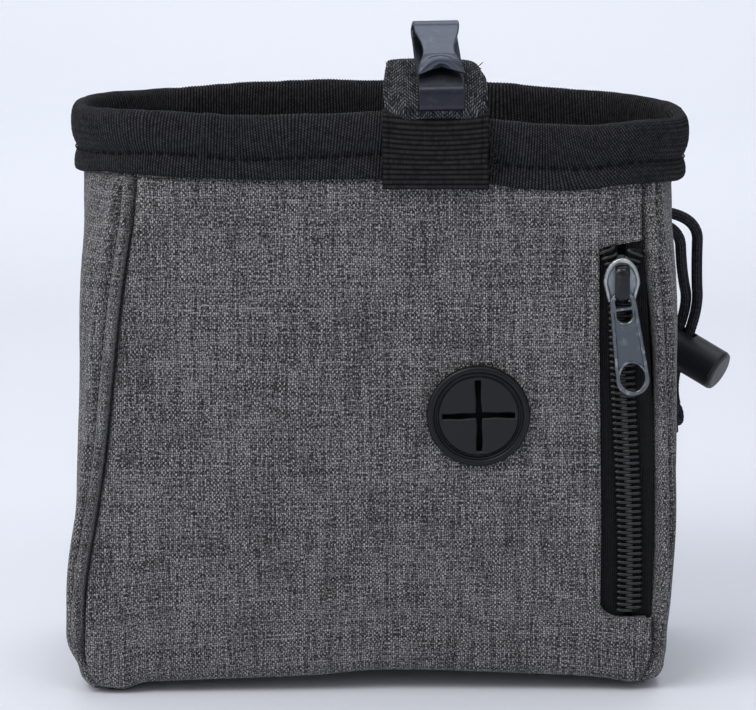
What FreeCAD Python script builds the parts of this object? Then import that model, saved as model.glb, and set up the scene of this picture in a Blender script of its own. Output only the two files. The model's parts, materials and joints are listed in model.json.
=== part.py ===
import FreeCAD, Part
import math
import os
import Sketcher

# A dog-treat pouch: an open fabric bag with two side gussets, a bound mouth, a rubber
# cross-slit port, a coil-zip pocket, a steel belt clip on a webbing tab, and a drawstring
# with a barrel cord lock.  Millimetres; X right, Y away from the viewer, Z up.

V = FreeCAD.Vector
doc = FreeCAD.newDocument("treat_pouch")
sheet = doc.addObject("Spreadsheet::Sheet", "dims")

DIMENSIONS = (
    # the bag
    ("wide", 142.0), ("deep", 58.0), ("tall", 141.6), ("shoulder", 115.0),
    ("corner", 7.0), ("mouth_corner", 24.0), ("base_round", 6.0), ("cloth", 1.0),
    ("cloth_top", 140.0), ("seam_low", 65.0), ("seam_high", 62.5),
    # the binding round the mouth and the stiffener inside it
    ("bind_low", 123.5), ("bind_out", 1.5), ("bind_in", 3.9), ("wall_stack", 2.4),
    ("bind_round", 2.4), ("band_low", 128.0), ("band_top", 139.5), ("band_thick", 0.8),
    # the lining, the drawstring collar and the pocket wall
    ("lining_gap", 4.0), ("lining_thick", 0.6), ("lining_base", 1.2), ("lining_tuck", 123.0),
    ("collar_gap", 5.0), ("collar_top", 125.8), ("hem_low", 107.6), ("hem_top", 112.4),
    ("hem_in", 9.2), ("channel_low", 108.2), ("channel_top", 111.8), ("channel_in", 8.6),
    ("pocket_left", -58.0), ("pocket_wide", 118.0), ("pocket_low", 12.0),
    ("pocket_high", 102.0), ("pocket_y", -25.8),
    # the zip
    ("zip_x", 57.6), ("window_left", 52.4), ("window_low", 26.0), ("window_top", 111.0),
    ("window_round", 5.6), ("tape_low", 14.0), ("tape_high", 100.0), ("tape_thick", 0.6),
    ("tape_split", 1.4), ("tape_left", 47.0), ("tape_right", 63.8),
    ("coil_half", 3.2), ("coil_thick", 1.8), ("coil_low", 22.0), ("coil_spine", 1.0),
    ("tooth_pitch", 1.5), ("tooth_high", 0.55), ("tooth_reach", 0.9), ("tooth_count", 53.0),
    ("slider_low", 97.5), ("slider_high", 11.0), ("slider_half", 4.25), ("crown_half", 1.9),
    ("crown_low", 97.8), ("crown_high", 9.2), ("pivot_y", -32.4), ("pivot_z", 99.5),
    ("puller_lean", 8.0), ("puller_long", 24.4), ("puller_thick", 1.2), ("puller_skin", 0.7),
    ("puller_top_half", 3.15), ("puller_end_r", 3.95), ("puller_hole_r", 3.15),
    # the rubber port
    ("port_x", 24.0), ("port_z", 69.7), ("port_rim", 12.0), ("port_disc", 9.9),
    ("port_neck", 10.6), ("port_back", 12.2), ("petal_pivot", 5.6), ("petal_round", 0.6),
    ("petal_gap", 0.7), ("port_opening", 6.3), ("petal_thick", 1.2), ("petal_front", -1.4),
    ("ring_line", 10.15),
    # the webbing tab and the belt clip
    ("tab_x", 13.5), ("tab_wide", 25.0), ("web", 1.6), ("clip_wide", 11.0), ("steel", 1.0),
    ("clip_x", 14.9), ("clip_yaw", 8.5), ("sleeve_gap", 2.6),
    ("swing_y", -27.8), ("swing_z", 138.9), ("tab_low", 124.4), ("tab_back_low", 126.4),
    # the drawstring, its eyelet and the cord lock
    ("eyelet_y", 14.5), ("eyelet_z", 110.0), ("eyelet_hole", 3.2), ("eyelet_neck", 3.7),
    ("eyelet_rim", 4.6), ("cord_d", 2.7), ("strand_off", 1.45), ("hem_run_gap", 7.1),
    ("hem_run_corner", 4.0), ("lock_x", 76.6), ("lock_y", 31.6), ("lock_z", 73.0),
    ("barrel_r", 5.25), ("barrel_bore", 4.0), ("barrel_open", -5.0), ("barrel_shut", 13.3),
    ("plunger_r", 3.8), ("plunger_out", -9.0), ("plunger_in", 6.0), ("slot_wide", 3.2),
    ("knot_r", 3.6),
)


def fill_sheet():
    """One row for each driving dimension: its word, and its value under that alias."""
    for row, (alias, value) in enumerate(DIMENSIONS, start=1):
        sheet.set(f"A{row}", alias)
        sheet.set(f"B{row}", str(value))
        sheet.setAlias(f"B{row}", alias)
    doc.recompute()


def size(expression):
    """The number that an expression over the sheet stands for."""
    return float(sheet.evalExpression(str(expression)))


def bind(thing, **expressions):
    """Tie properties to expressions over the sheet."""
    for prop, expression in expressions.items():
        thing.setExpression(prop, str(expression))


def place(thing, x, y, z):
    """Tie the position of an object to three expressions."""
    thing.setExpression("Placement.Base.x", str(x))
    thing.setExpression("Placement.Base.y", str(y))
    thing.setExpression("Placement.Base.z", str(z))


def box(name, x, y, z, dx, dy, dz):
    """A box from its lowest corner and its three sides, all expressions."""
    block = doc.addObject("Part::Box", name)
    bind(block, Length=dx, Width=dy, Height=dz)
    place(block, x, y, z)
    return block


def cylinder(name, x, y, z, radius, length, axis):
    """A cylinder that starts at a point and runs along a unit axis."""
    rod = doc.addObject("Part::Cylinder", name)
    bind(rod, Radius=radius, Height=length)
    rod.Placement.Rotation = FreeCAD.Rotation(V(0, 0, 1), axis)
    place(rod, x, y, z)
    return rod


def cut(name, base, tool):
    result = doc.addObject("Part::Cut", name)
    result.Base = base
    result.Tool = tool
    return result


def fuse(name, *shapes):
    result = doc.addObject("Part::MultiFuse", name)
    result.Shapes = list(shapes)
    return result


def common(name, first, second):
    result = doc.addObject("Part::MultiCommon", name)
    result.Shapes = [first, second]
    return result


# ---------------------------------------------------------------- rounded outlines

def rounded_outline(name, z, wide, deep, corner):
    """A rounded rectangle at one height, centred on the Z axis, with its sizes bound."""
    sketch = doc.addObject("Sketcher::SketchObject", name)
    place(sketch, "0", "0", z)
    x = size(wide) / 2
    y = size(deep) / 2
    r = size(corner)
    up = V(0, 0, 1)
    quarter = math.pi / 2
    sketch.addGeometry([
        Part.LineSegment(V(-x + r, -y, 0), V(x - r, -y, 0)),
        Part.ArcOfCircle(Part.Circle(V(x - r, -y + r, 0), up, r), -quarter, 0),
        Part.LineSegment(V(x, -y + r, 0), V(x, y - r, 0)),
        Part.ArcOfCircle(Part.Circle(V(x - r, y - r, 0), up, r), 0, quarter),
        Part.LineSegment(V(x - r, y, 0), V(-x + r, y, 0)),
        Part.ArcOfCircle(Part.Circle(V(-x + r, y - r, 0), up, r), quarter, 2 * quarter),
        Part.LineSegment(V(-x, y - r, 0), V(-x, -y + r, 0)),
        Part.ArcOfCircle(Part.Circle(V(-x + r, -y + r, 0), up, r), 2 * quarter, 3 * quarter),
    ], False)
    rule = Sketcher.Constraint
    sketch.addConstraint([rule("Tangent", i, 2, (i + 1) % 8, 1) for i in range(8)])
    sketch.addConstraint([rule("Horizontal", 0), rule("Vertical", 2), rule("Horizontal", 4)])
    sketch.addConstraint([rule("Vertical", 6), rule("Equal", 1, 3), rule("Equal", 3, 5)])
    sketch.addConstraint([rule("Equal", 5, 7), rule("Symmetric", 0, 1, 4, 1, -1, 1)])
    first = sketch.ConstraintCount
    sketch.addConstraint([
        rule("DistanceX", 6, 1, 2, 1, 2 * x),
        rule("DistanceY", 0, 1, 4, 2, 2 * y),
        rule("Radius", 1, r),
    ])
    for offset, (word, expression) in enumerate((("wide", wide), ("deep", deep), ("corner", corner))):
        sketch.renameConstraint(first + offset, word)
        sketch.setExpression(f"Constraints.{word}", str(expression))
    return sketch


def corner_at(z, inset):
    """The bag's corner radius at a height, less the inset: it opens out to the mouth."""
    if size(z) <= size("dims.shoulder"):
        return f"dims.corner - ({inset})"
    rise = f"(({z}) - dims.shoulder) / (dims.tall - dims.shoulder)"
    return f"dims.corner + (dims.mouth_corner - dims.corner) * {rise} - ({inset})"


def bag_volume(name, levels, base_round=0.0):
    """The bag's form inset from the outside at each level: (height, inset, own corner)."""
    sections = []
    for number, (z, inset, *own_corner) in enumerate(levels):
        corner = own_corner[0] if own_corner else corner_at(z, inset)
        sections.append(rounded_outline(f"{name}_level_{number}", z, f"dims.wide - 2 * ({inset})",
                                        f"dims.deep - 2 * ({inset})", corner))
    loft = doc.addObject("Part::Loft", f"{name}_form")
    loft.Sections = sections
    loft.Solid = True
    loft.Ruled = True
    doc.recompute()
    if not base_round:
        return loft
    return rounded_edges(name, loft, size(levels[0][0]), base_round)


def rounded_edges(name, base, height, radius):
    """Round every edge of a form that lies flat at one height."""
    flat = [
        (number, radius, radius)
        for number, edge in enumerate(base.Shape.Edges, start=1)
        if abs(edge.BoundBox.ZMin - height) < 1e-4 and abs(edge.BoundBox.ZMax - height) < 1e-4
    ]
    rounded = doc.addObject("Part::Fillet", name)
    rounded.Base = base
    rounded.Edges = flat
    doc.recompute()
    return rounded


# ---------------------------------------------------------------- the sewn bag

def make_shell():
    """The outer cloth: one wrap over front, base and back, and a gusset at each side."""
    outside = bag_volume("shell_outside", [("0", "0"), ("dims.shoulder", "0"), ("dims.cloth_top", "0")],
                         size("dims.base_round"))
    above = "dims.cloth_top + 2"
    inside = bag_volume("shell_inside", [("dims.cloth", "dims.cloth"), ("dims.shoulder", "dims.cloth"),
                                         (above, "dims.cloth")], size("dims.base_round - dims.cloth"))
    shell = cut("shell", outside, inside)
    wedge = doc.addObject("Part::Wedge", "wrap_region")
    bind(wedge, Xmin="-dims.seam_high", Xmax="dims.seam_high", X2min="-dims.seam_low",
         X2max="dims.seam_low", Ymin="0", Ymax="dims.cloth_top", Zmin="-dims.deep", Zmax="dims.deep",
         Z2min="-dims.deep", Z2max="dims.deep")
    wedge.Placement.Rotation = FreeCAD.Rotation(V(1, 0, 0), -90)
    place(wedge, "0", "0", "dims.cloth_top")

    wrap = common("wrap_cloth", shell, wedge)
    window = fuse(
        "zip_window",
        box("window_box", "dims.window_left", "-dims.deep / 2 - 1", "dims.window_low",
            "dims.wide / 2 - dims.window_left", "dims.cloth + 2", "dims.window_top - dims.window_low"),
        cylinder("window_end", "dims.window_left + dims.window_round", "-dims.deep / 2 - 1",
                 "dims.window_low", "dims.window_round", "dims.cloth + 2", V(0, 1, 0)),
        cylinder("port_hole", "dims.port_x", "-dims.deep / 2 - 1", "dims.port_z", "dims.port_neck",
                 "dims.cloth + 2", V(0, 1, 0)),
    )
    body_wrap = cut("body_wrap", wrap, window)

    sides = cut("gusset_cloth", shell, wedge)
    half = "dims.wide / 2 + 5"
    left = common("gusset_left", sides, box("left_half", f"-({half})", "-dims.deep", "-1", half,
                                            "2 * dims.deep", "dims.tall + 10"))
    right = common("gusset_right_cloth", sides, box("right_half", "0", "-dims.deep", "-1", half,
                                                    "2 * dims.deep", "dims.tall + 10"))
    hole = cylinder("eyelet_hole", "dims.wide / 2 - 3", "dims.eyelet_y", "dims.eyelet_z",
                    "dims.eyelet_neck", "5", V(1, 0, 0))
    return [body_wrap, left, cut("gusset_right", right, hole)]


def ring(name, low, high, outer, inner):
    """A band that follows the bag between two heights and two insets."""
    body = bag_volume(f"{name}_out", [(low, outer), (high, outer)])
    core = bag_volume(f"{name}_core", [(f"{low} - 1", inner), (f"{high} + 1", inner)])
    return cut(name, body, core)


def make_binding():
    """Folded webbing over the mouth, and the springy band it hides."""
    band = ring("binding_band", "dims.bind_low", "dims.tall", "-dims.bind_out", "dims.bind_in")
    doc.recompute()
    rounded = rounded_edges("binding_rounded", band, size("dims.tall"), size("dims.bind_round"))
    walls = ring("wall_stack_band", "dims.bind_low - 0.5", "dims.cloth_top", "0", "dims.wall_stack")
    binding = cut("mouth_binding", rounded, walls)
    stiffener = ring("mouth_stiffener", "dims.band_low", "dims.band_top", "dims.cloth",
                     "dims.cloth + dims.band_thick")
    return [binding, stiffener]


def strand_way(name):
    """The drawstring's way out through the inner layers."""
    return cylinder(name, "dims.wide / 2 - 7", "dims.eyelet_y", "dims.eyelet_z",
                    "dims.eyelet_hole", "4", V(1, 0, 0))


def make_inside():
    """The lining, the drawstring collar with its hem, the cord's run in the hem, the pocket wall."""
    stack = "dims.cloth + dims.band_thick"
    thick = "dims.lining_thick"
    gap = "dims.lining_gap"
    skin = bag_volume("lining_skin", [("dims.lining_base", gap), ("dims.shoulder", gap),
                                      ("dims.lining_tuck", stack), ("dims.cloth_top", stack)], 2.6)
    hollow = bag_volume("lining_hollow", [
        (f"dims.lining_base + {thick}", f"{gap} + {thick}"), ("dims.shoulder", f"{gap} + {thick}"),
        ("dims.lining_tuck", f"{stack} + {thick}"), ("dims.cloth_top + 1", f"{stack} + {thick}")], 2.0)
    lining = cut("lining", cut("lining_walls", skin, hollow), strand_way("lining_way"))

    reach = "dims.collar_gap"
    outer = bag_volume("collar_skin", [("dims.hem_low", reach), ("dims.shoulder", reach),
                                       ("dims.bind_low", "dims.bind_in"),
                                       ("dims.collar_top", "dims.bind_in")])
    core_low = "dims.hem_top"
    core = bag_volume("collar_core", [(core_low, f"{reach} + {thick}"),
                                      ("dims.shoulder", f"{reach} + {thick}"),
                                      ("dims.bind_low", f"dims.bind_in + {thick}"),
                                      ("dims.collar_top + 1", f"dims.bind_in + {thick}")])
    throat = bag_volume("hem_throat", [("dims.hem_low - 1", "dims.hem_in", "1.8"),
                                       ("dims.hem_top + 0.5", "dims.hem_in", "1.8")])
    channel_out = bag_volume("channel_out", [("dims.channel_low", f"{reach} + {thick}"),
                                             ("dims.channel_top", f"{reach} + {thick}")])
    channel_core = bag_volume("channel_core", [("dims.channel_low - 1", "dims.channel_in", "2.4"),
                                               ("dims.channel_top + 1", "dims.channel_in", "2.4")])
    channel = cut("channel", channel_out, channel_core)
    collar_cloth = cut("collar_cloth", outer, fuse("collar_air", core, throat, channel))
    collar = cut("drawstring_collar", collar_cloth, strand_way("collar_way"))

    path = rounded_outline("hem_path", "dims.eyelet_z", "dims.wide - 2 * dims.hem_run_gap",
                           "dims.deep - 2 * dims.hem_run_gap", "dims.hem_run_corner")
    doc.recompute()
    run = doc.addObject("Part::Feature", "drawstring_hem_run")
    start = path.Shape.Edges[0].valueAt(0)
    section = Part.Wire(Part.makeCircle(size("dims.cord_d") / 2, start, V(1, 0, 0)))
    run.Shape = Part.Wire(Part.__sortEdges__(path.Shape.Edges)).makePipeShell([section], True, False)

    pocket = box("pocket_wall", "dims.pocket_left", "dims.pocket_y", "dims.pocket_low",
                 "dims.pocket_wide", thick, "dims.pocket_high")
    return [lining, collar, run, pocket]


# ---------------------------------------------------------------- PartDesign helpers

def new_body(name, x="0", y="0", z="0", turn=None):
    body = doc.addObject("PartDesign::Body", name)
    if turn is not None:
        body.Placement.Rotation = turn
    place(body, x, y, z)
    return body


def body_sketch(body, name, role):
    sketch = body.newObject("Sketcher::SketchObject", name)
    origin_plane = [part for part in body.Origin.OriginFeatures if part.Role == role][0]
    sketch.AttachmentSupport = [(origin_plane, "")]
    sketch.MapMode = "FlatFace"
    return sketch


def bound_polygon(sketch, points):
    """A closed polygon whose corners are tied to expressions for both coordinates."""
    values = [V(size(a), size(b), 0) for a, b in points]
    count = len(values)
    first = sketch.GeometryCount
    sketch.addGeometry([Part.LineSegment(values[i], values[(i + 1) % count]) for i in range(count)], False)
    rule = Sketcher.Constraint
    sketch.addConstraint([rule("Coincident", first + i, 2, first + (i + 1) % count, 1) for i in range(count)])
    for i, (a, b) in enumerate(points):
        for kind, expression in (("DistanceX", a), ("DistanceY", b)):
            number = sketch.addConstraint(rule(kind, -1, 1, first + i, 1, size(expression)))
            sketch.setExpression(f"Constraints[{number}]", str(expression))


def bound_circle(sketch, x, y, radius):
    number = sketch.addGeometry(Part.Circle(V(size(x), size(y), 0), V(0, 0, 1), size(radius)), False)
    rule = Sketcher.Constraint
    for constraint, expression in (
        (rule("DistanceX", -1, 1, number, 3, size(x)), x),
        (rule("DistanceY", -1, 1, number, 3, size(y)), y),
        (rule("Radius", number, size(radius)), radius),
    ):
        index = sketch.addConstraint(constraint)
        sketch.setExpression(f"Constraints[{index}]", str(expression))


def rectangle(x0, y0, x1, y1):
    return [(x0, y0), (x1, y0), (x1, y1), (x0, y1)]


def pad(body, name, sketch, length, midplane=False, reverse=False):
    feature = body.newObject("PartDesign::Pad", name)
    feature.Profile = sketch
    feature.setExpression("Length", str(length))
    feature.Midplane = midplane
    feature.Reversed = reverse
    return feature


def revolve(body, name, sketch, role):
    feature = body.newObject("PartDesign::Revolution", name)
    feature.Profile = sketch
    axis = [part for part in body.Origin.OriginFeatures if part.Role == role][0]
    feature.ReferenceAxis = (axis, [""])
    feature.Angle = 360
    return feature


def pocket(body, name, sketch, length, midplane=False):
    """Cut a sketch through a body and make sure that it took material away."""
    doc.recompute()
    before = body.Shape.Volume
    feature = body.newObject("PartDesign::Pocket", name)
    feature.Profile = sketch
    feature.setExpression("Length", str(length))
    feature.Midplane = midplane
    doc.recompute()
    if body.Shape.Volume > before - 1e-6:
        feature.Reversed = True
        doc.recompute()
    if body.Shape.Volume > before - 1e-6:
        raise RuntimeError(f"{name} cut nothing")
    return feature


# ---------------------------------------------------------------- the zip

def make_zip():
    """Two tapes, two interlocking rows of coil, the slider and its puller."""
    face = "-dims.deep / 2 + dims.cloth"
    tape_left = box("zip_tape_left", "dims.tape_left", face, "dims.tape_low",
                    "dims.zip_x - dims.tape_split - dims.tape_left", "dims.tape_thick", "dims.tape_high")
    tape_right = box("zip_tape_right", "dims.zip_x + dims.tape_split", face, "dims.tape_low",
                     "dims.tape_right - dims.zip_x - dims.tape_split", "dims.tape_thick",
                     "dims.tape_high")
    rows = [make_coil("zip_coil_left", -1, "0"), make_coil("zip_coil_right", 1, "dims.tooth_pitch / 2")]
    return [tape_left, tape_right] + rows + [make_slider(), make_puller()]


def make_coil(name, side, lift):
    """A spine along the tape with teeth that reach past the middle line."""
    body = new_body(name, "dims.zip_x", "-dims.deep / 2 + dims.cloth", f"dims.coil_low + {lift}")
    edge = f"{side} * dims.coil_half"
    inner = f"{side} * (dims.coil_half - dims.coil_spine)"
    spine = body_sketch(body, f"{name}_spine_outline", "XZ_Plane")
    long = "dims.tooth_count * dims.tooth_pitch + 8"
    bound_polygon(spine, rectangle(min(edge, inner, key=size), "0", max(edge, inner, key=size), long))
    pad(body, f"{name}_spine", spine, "dims.coil_thick")
    tooth = body_sketch(body, f"{name}_tooth_outline", "XZ_Plane")
    tip = f"{-side} * dims.tooth_reach"
    bound_polygon(tooth, rectangle(min(tip, inner, key=size), "0.3", max(tip, inner, key=size),
                                   "0.3 + dims.tooth_high"))
    first = pad(body, f"{name}_tooth", tooth, "dims.coil_thick")
    row = body.newObject("PartDesign::LinearPattern", f"{name}_teeth")
    row.Originals = [first]
    axis = [part for part in body.Origin.OriginFeatures if part.Role == "Z_Axis"][0]
    row.Direction = (axis, [""])
    row.setExpression("Length", "(dims.tooth_count - 1) * dims.tooth_pitch")
    row.Occurrences = int(size("dims.tooth_count"))
    body.Tip = row
    return body


def make_slider():
    """Front and rear plates round the coil, joined by the post, with the bridge that holds the puller."""
    x = "dims.zip_x"
    face = "-dims.deep / 2 + dims.cloth"
    low = "dims.slider_low"
    half = "dims.slider_half"
    front = f"{face} - dims.coil_thick - 0.2"
    lip = "0.8"
    plates = [
        make_shield("slider_shield", f"{front} - 1.2", "1.2"),
        box("slider_lip_left", f"{x} - {half} + 0.15", front, f"{low} + 3.4", lip,
            f"{face} - ({front}) - 0.25", "4.6"),
        box("slider_lip_right", f"{x} + {half} - {lip} - 0.15", front, f"{low} + 3.4", lip,
            f"{face} - ({front}) - 0.25", "4.6"),
        make_shield("slider_rear_shield", f"{face} + 0.8", "1.0"),
        box("slider_post", f"{x} - 0.65", f"{front} - 0.1", f"{low} + 6.5", "1.3",
            f"{face} + 0.9 - ({front})", "3.0"),
        make_crown(),
    ]
    solid = fuse("slider_solid", *plates)
    way = box("crown_way", f"{x} - 3", f"{front} - 3.35", "dims.crown_low + 0.4", "6", "2.15",
              "dims.crown_high - 2.0")
    return cut("slider_body", solid, way)


def make_shield(name, y, thick):
    """One plate of the slider: a rounded point above, its shoulders, and a narrower tail."""
    body = new_body(name, "dims.zip_x", y, "dims.slider_low")
    outline = body_sketch(body, f"{name}_outline", "XZ_Plane")
    high = "dims.slider_high"
    half = "dims.slider_half"
    right = [(f"0.62 * {half}", "0"), (f"0.74 * {half}", f"0.03 * {high}"), (f"0.82 * {half}", f"0.16 * {high}"),
             (f"0.95 * {half}", f"0.42 * {high}"), (half, f"0.56 * {high}"), (f"0.97 * {half}", f"0.64 * {high}"),
             (f"0.84 * {half}", f"0.75 * {high}"), (f"0.62 * {half}", f"0.87 * {high}"),
             (f"0.36 * {half}", f"0.96 * {high}"), (f"0.14 * {half}", high)]
    left = [(f"-({a})", b) for a, b in reversed(right)]
    bound_polygon(outline, right + left)
    pad(body, f"{name}_plate", outline, thick, reverse=True)
    return body


def make_crown():
    """The bridge over the slider that the puller's bar hangs in, arched along its length."""
    body = new_body("slider_crown", "dims.zip_x - dims.crown_half", "-dims.deep / 2 + dims.cloth",
                    "dims.crown_low")
    side = body_sketch(body, "crown_outline", "YZ_Plane")
    root = "-dims.coil_thick - 0.9"
    top = "-dims.coil_thick - 4.2"
    high = "dims.crown_high"
    bound_polygon(side, [
        (root, "0"), (f"{top} + 0.9", "0"), (f"{top} + 0.3", "0.35"), (top, f"0.16 * {high}"),
        (top, f"0.62 * {high}"), (f"{top} + 0.5", f"0.83 * {high}"), (f"{top} + 1.4", f"0.96 * {high}"),
        (root, high)])
    pad(body, "crown_block", side, "2 * dims.crown_half")
    return body


def puller_outline(inset):
    """The puller's edge moved in by some amount: square at the bar, round at the hanging end."""
    top = f"dims.puller_top_half - {inset}"
    end = f"(dims.puller_end_r - {inset})"
    middle = "0.6 - dims.puller_long + dims.puller_end_r"
    curve = [(f"{math.cos(angle):.4f} * {end}", f"{middle} + {math.sin(angle):.4f} * {end}")
             for angle in [math.radians(-180 + 15 * step) for step in range(13)]]
    head = [(top, f"0.1 - {inset}"), (f"{top} - 0.5", f"0.6 - {inset}")]
    return curve + head + [(f"-({a})", b) for a, b in reversed(head)]


def make_puller():
    """A flat tab with a raised edge that hangs from a bar under the slider's bridge."""
    lean = FreeCAD.Rotation(V(0, 1, 0), -size("dims.puller_lean"))
    body = new_body("slider_puller", "dims.zip_x", "dims.pivot_y", "dims.pivot_z", lean)
    field = body_sketch(body, "puller_field_outline", "XZ_Plane")
    bound_polygon(field, puller_outline("0.3"))
    pad(body, "puller_field", field, "dims.puller_skin", midplane=True)
    edge = body_sketch(body, "puller_edge_outline", "XZ_Plane")
    bound_polygon(edge, puller_outline("0"))
    bound_polygon(edge, [(a, b) for a, b in puller_outline("0.62")])
    pad(body, "puller_edge", edge, "dims.puller_thick", midplane=True)
    collar = body_sketch(body, "puller_collar_outline", "XZ_Plane")
    bound_polygon(collar, rectangle("-3.0", "-6.6", "3.0", "0.3"))
    pad(body, "puller_collar", collar, "dims.puller_thick", midplane=True)
    window = body_sketch(body, "puller_window_outline", "XZ_Plane")
    bound_polygon(window, [("-2.15", "-0.6"), ("-2.15", "-3.7"), ("-1.86", "-4.78"), ("-1.08", "-5.56"),
                           ("0", "-5.85"), ("1.08", "-5.56"), ("1.86", "-4.78"), ("2.15", "-3.7"),
                           ("2.15", "-0.6")])
    pocket(body, "puller_window", window, "6", midplane=True)
    drop = "0.6 - dims.puller_long + dims.puller_end_r"
    for number, rise in enumerate(("0", "1.1"), start=1):
        hole = body_sketch(body, f"puller_hole_{number}_outline", "XZ_Plane")
        bound_circle(hole, "0", f"{drop} + {rise}", "dims.puller_hole_r")
        pocket(body, f"puller_hole_{number}", hole, "6", midplane=True)
    return body


# ---------------------------------------------------------------- the rubber port

def make_port():
    """A rubber ring clamped in the cloth, its thin disc, and the four petals of the cross slit."""
    body = new_body("outlet_port", "dims.port_x", "-dims.deep / 2", "dims.port_z")
    profile = body_sketch(body, "port_profile", "XY_Plane")
    disc_back = "dims.petal_front + dims.petal_thick"
    line = "dims.ring_line"
    bound_polygon(profile, [
        ("0.001", "dims.petal_front"), (f"{line} - 0.6", "dims.petal_front"), (f"{line} - 0.45", "-1.05"),
        (f"{line} - 0.2", "-1.05"), (line, "-1.75"), (f"{line} + 0.5", "-1.75"), (f"{line} + 0.65", "-1.3"),
        (f"{line} + 0.9", "-1.3"), (f"{line} + 1.1", "-1.6"), (f"{line} + 1.45", "-1.45"),
        ("dims.port_rim - 0.1", "-0.9"), ("dims.port_rim", "0"), ("dims.port_neck", "0"),
        ("dims.port_neck", "dims.cloth"), ("dims.port_back", "dims.cloth"),
        ("dims.port_back", "dims.cloth + 0.8"), ("dims.port_disc", "dims.cloth + 0.8"),
        ("dims.port_disc", disc_back), ("0.001", disc_back)])
    revolve(body, "port_ring", profile, "Y_Axis")
    opening = body_sketch(body, "port_opening_outline", "XZ_Plane")
    tip = "dims.port_opening * sqrt(2)"
    bound_polygon(opening, [(tip, "0"), ("0", tip), (f"-{tip}", "0"), ("0", f"-{tip}")])
    pocket(body, "port_opening_cut", opening, "12", midplane=True)
    return [body] + [make_petal(number) for number in range(1, 5)]


def make_petal(number):
    """One quarter of the slit disc, rounded along the fold that it bends on."""
    turn = FreeCAD.Rotation(V(0, 1, 0), 90 * (number - 1))
    middle = "-dims.deep / 2 + dims.petal_front + dims.petal_thick / 2"
    body = new_body(f"petal_{number}_body", "dims.port_x", middle, "dims.port_z", turn)
    outline = body_sketch(body, f"petal_{number}_outline", "XZ_Plane")
    near = "dims.petal_gap"
    far = "dims.petal_pivot * sqrt(2) - dims.petal_gap"
    bound_polygon(outline, [(near, near), (far, near), (near, far)])
    pad(body, f"petal_{number}_leaf", outline, "dims.petal_thick", midplane=True)
    doc.recompute()
    fold = doc.addObject("Part::Cylinder", f"petal_{number}_fold")
    bind(fold, Radius="dims.petal_round", Height="2 * dims.petal_pivot - 2 * dims.petal_gap * sqrt(2) - 1.2")
    doc.recompute()
    outward = turn.multVec(V(1, 0, 1).normalize())
    along = turn.multVec(V(-1, 0, 1).normalize())
    start = outward * size("dims.petal_pivot") - along * (fold.Height.Value / 2)
    centre = V(size("dims.port_x"), size(middle), size("dims.port_z"))
    fold.Placement = FreeCAD.Placement(centre + start, FreeCAD.Rotation(V(0, 0, 1), along))
    return fuse(f"outlet_petal_{number}", body, fold)


# ---------------------------------------------------------------- bent strips and cords

def rounded_path(points, radii=None):
    """Straight runs joined by tangent arcs: a wire, and the radius used at each inner point."""
    edges = []
    used = []
    here = points[0]
    for i in range(1, len(points) - 1):
        back = points[i - 1] - points[i]
        ahead = points[i + 1] - points[i]
        half_turn = (math.pi - back.getAngle(ahead)) / 2
        reach = 0.45 * min(back.Length, ahead.Length)
        radius = reach / math.tan(half_turn) if radii is None else radii[i - 1]
        reach = radius * math.tan(half_turn)
        back.normalize()
        ahead.normalize()
        enter = points[i] + back * reach
        leave = points[i] + ahead * reach
        inward = (back + ahead).normalize()
        middle = points[i] + inward * (radius / math.cos(half_turn) - radius)
        edges.append(Part.LineSegment(here, enter).toShape())
        edges.append(Part.Arc(enter, middle, leave).toShape())
        used.append(radius)
        here = leave
    edges.append(Part.LineSegment(here, points[-1]).toShape())
    return Part.Wire(edges), used


def strip_solid(points, radii, thick, middle_x, wide):
    """A strip of constant thickness bent in the YZ plane, centred on its path."""
    path, _ = rounded_path([V(middle_x - wide / 2, y, z) for y, z in points], radii)
    start = path.Edges[0].valueAt(path.Edges[0].FirstParameter)
    ahead = path.Edges[0].tangentAt(path.Edges[0].FirstParameter)
    across = V(1, 0, 0)
    normal = ahead.cross(across).normalize()
    corners = [
        start + normal * (thick / 2),
        start + normal * (thick / 2) + across * wide,
        start - normal * (thick / 2) + across * wide,
        start - normal * (thick / 2),
    ]
    section = Part.makePolygon(corners + [corners[0]])
    return path.makePipeShell([section], True, False)


def leaning(u, v):
    """A point of the clip's own frame, u up its length and v out of its face, in Y and Z."""
    half = math.sqrt(0.5)
    return size("dims.swing_y") + (u - v) * half, size("dims.swing_z") + (u + v) * half


def make_anchor():
    """The webbing folded over the bound mouth, half-round on top where the loop swings."""
    wide = "dims.tab_wide"
    left = "dims.tab_x - dims.tab_wide / 2"
    front = "-dims.deep / 2 - dims.bind_out"
    back = "-dims.deep / 2 + dims.bind_in"
    outer_r = "dims.bind_in / 2 + dims.bind_out / 2 + dims.web"
    crown = cylinder("anchor_crown", left, "dims.swing_y", "dims.swing_z", outer_r, wide, V(1, 0, 0))
    front_leg = box("anchor_front", left, f"{front} - dims.web", "dims.tab_low", wide, outer_r,
                    "dims.swing_z - dims.tab_low")
    back_leg = box("anchor_back", left, "dims.swing_y", "dims.tab_back_low", wide, outer_r,
                   "dims.swing_z - dims.tab_back_low")
    solid = fuse("anchor_solid", crown, front_leg, back_leg)
    rim = box("anchor_rim_space", f"{left} - 1", front, "dims.tab_low - 5", f"{wide} + 2",
              f"{back} - ({front})", "dims.tall - dims.tab_low + 5")
    doc.recompute()
    rounded_rim = doc.addObject("Part::Fillet", "anchor_rim_rounded")
    rounded_rim.Base = rim
    radius = size("dims.bind_round")
    top = size("dims.tall")
    rounded_rim.Edges = [
        (number, radius, radius)
        for number, edge in enumerate(rim.Shape.Edges, start=1)
        if edge.BoundBox.ZMin > top - 1e-4 and edge.BoundBox.XLength > 5
    ]
    return cut("webbing_anchor", solid, rounded_rim)


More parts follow.
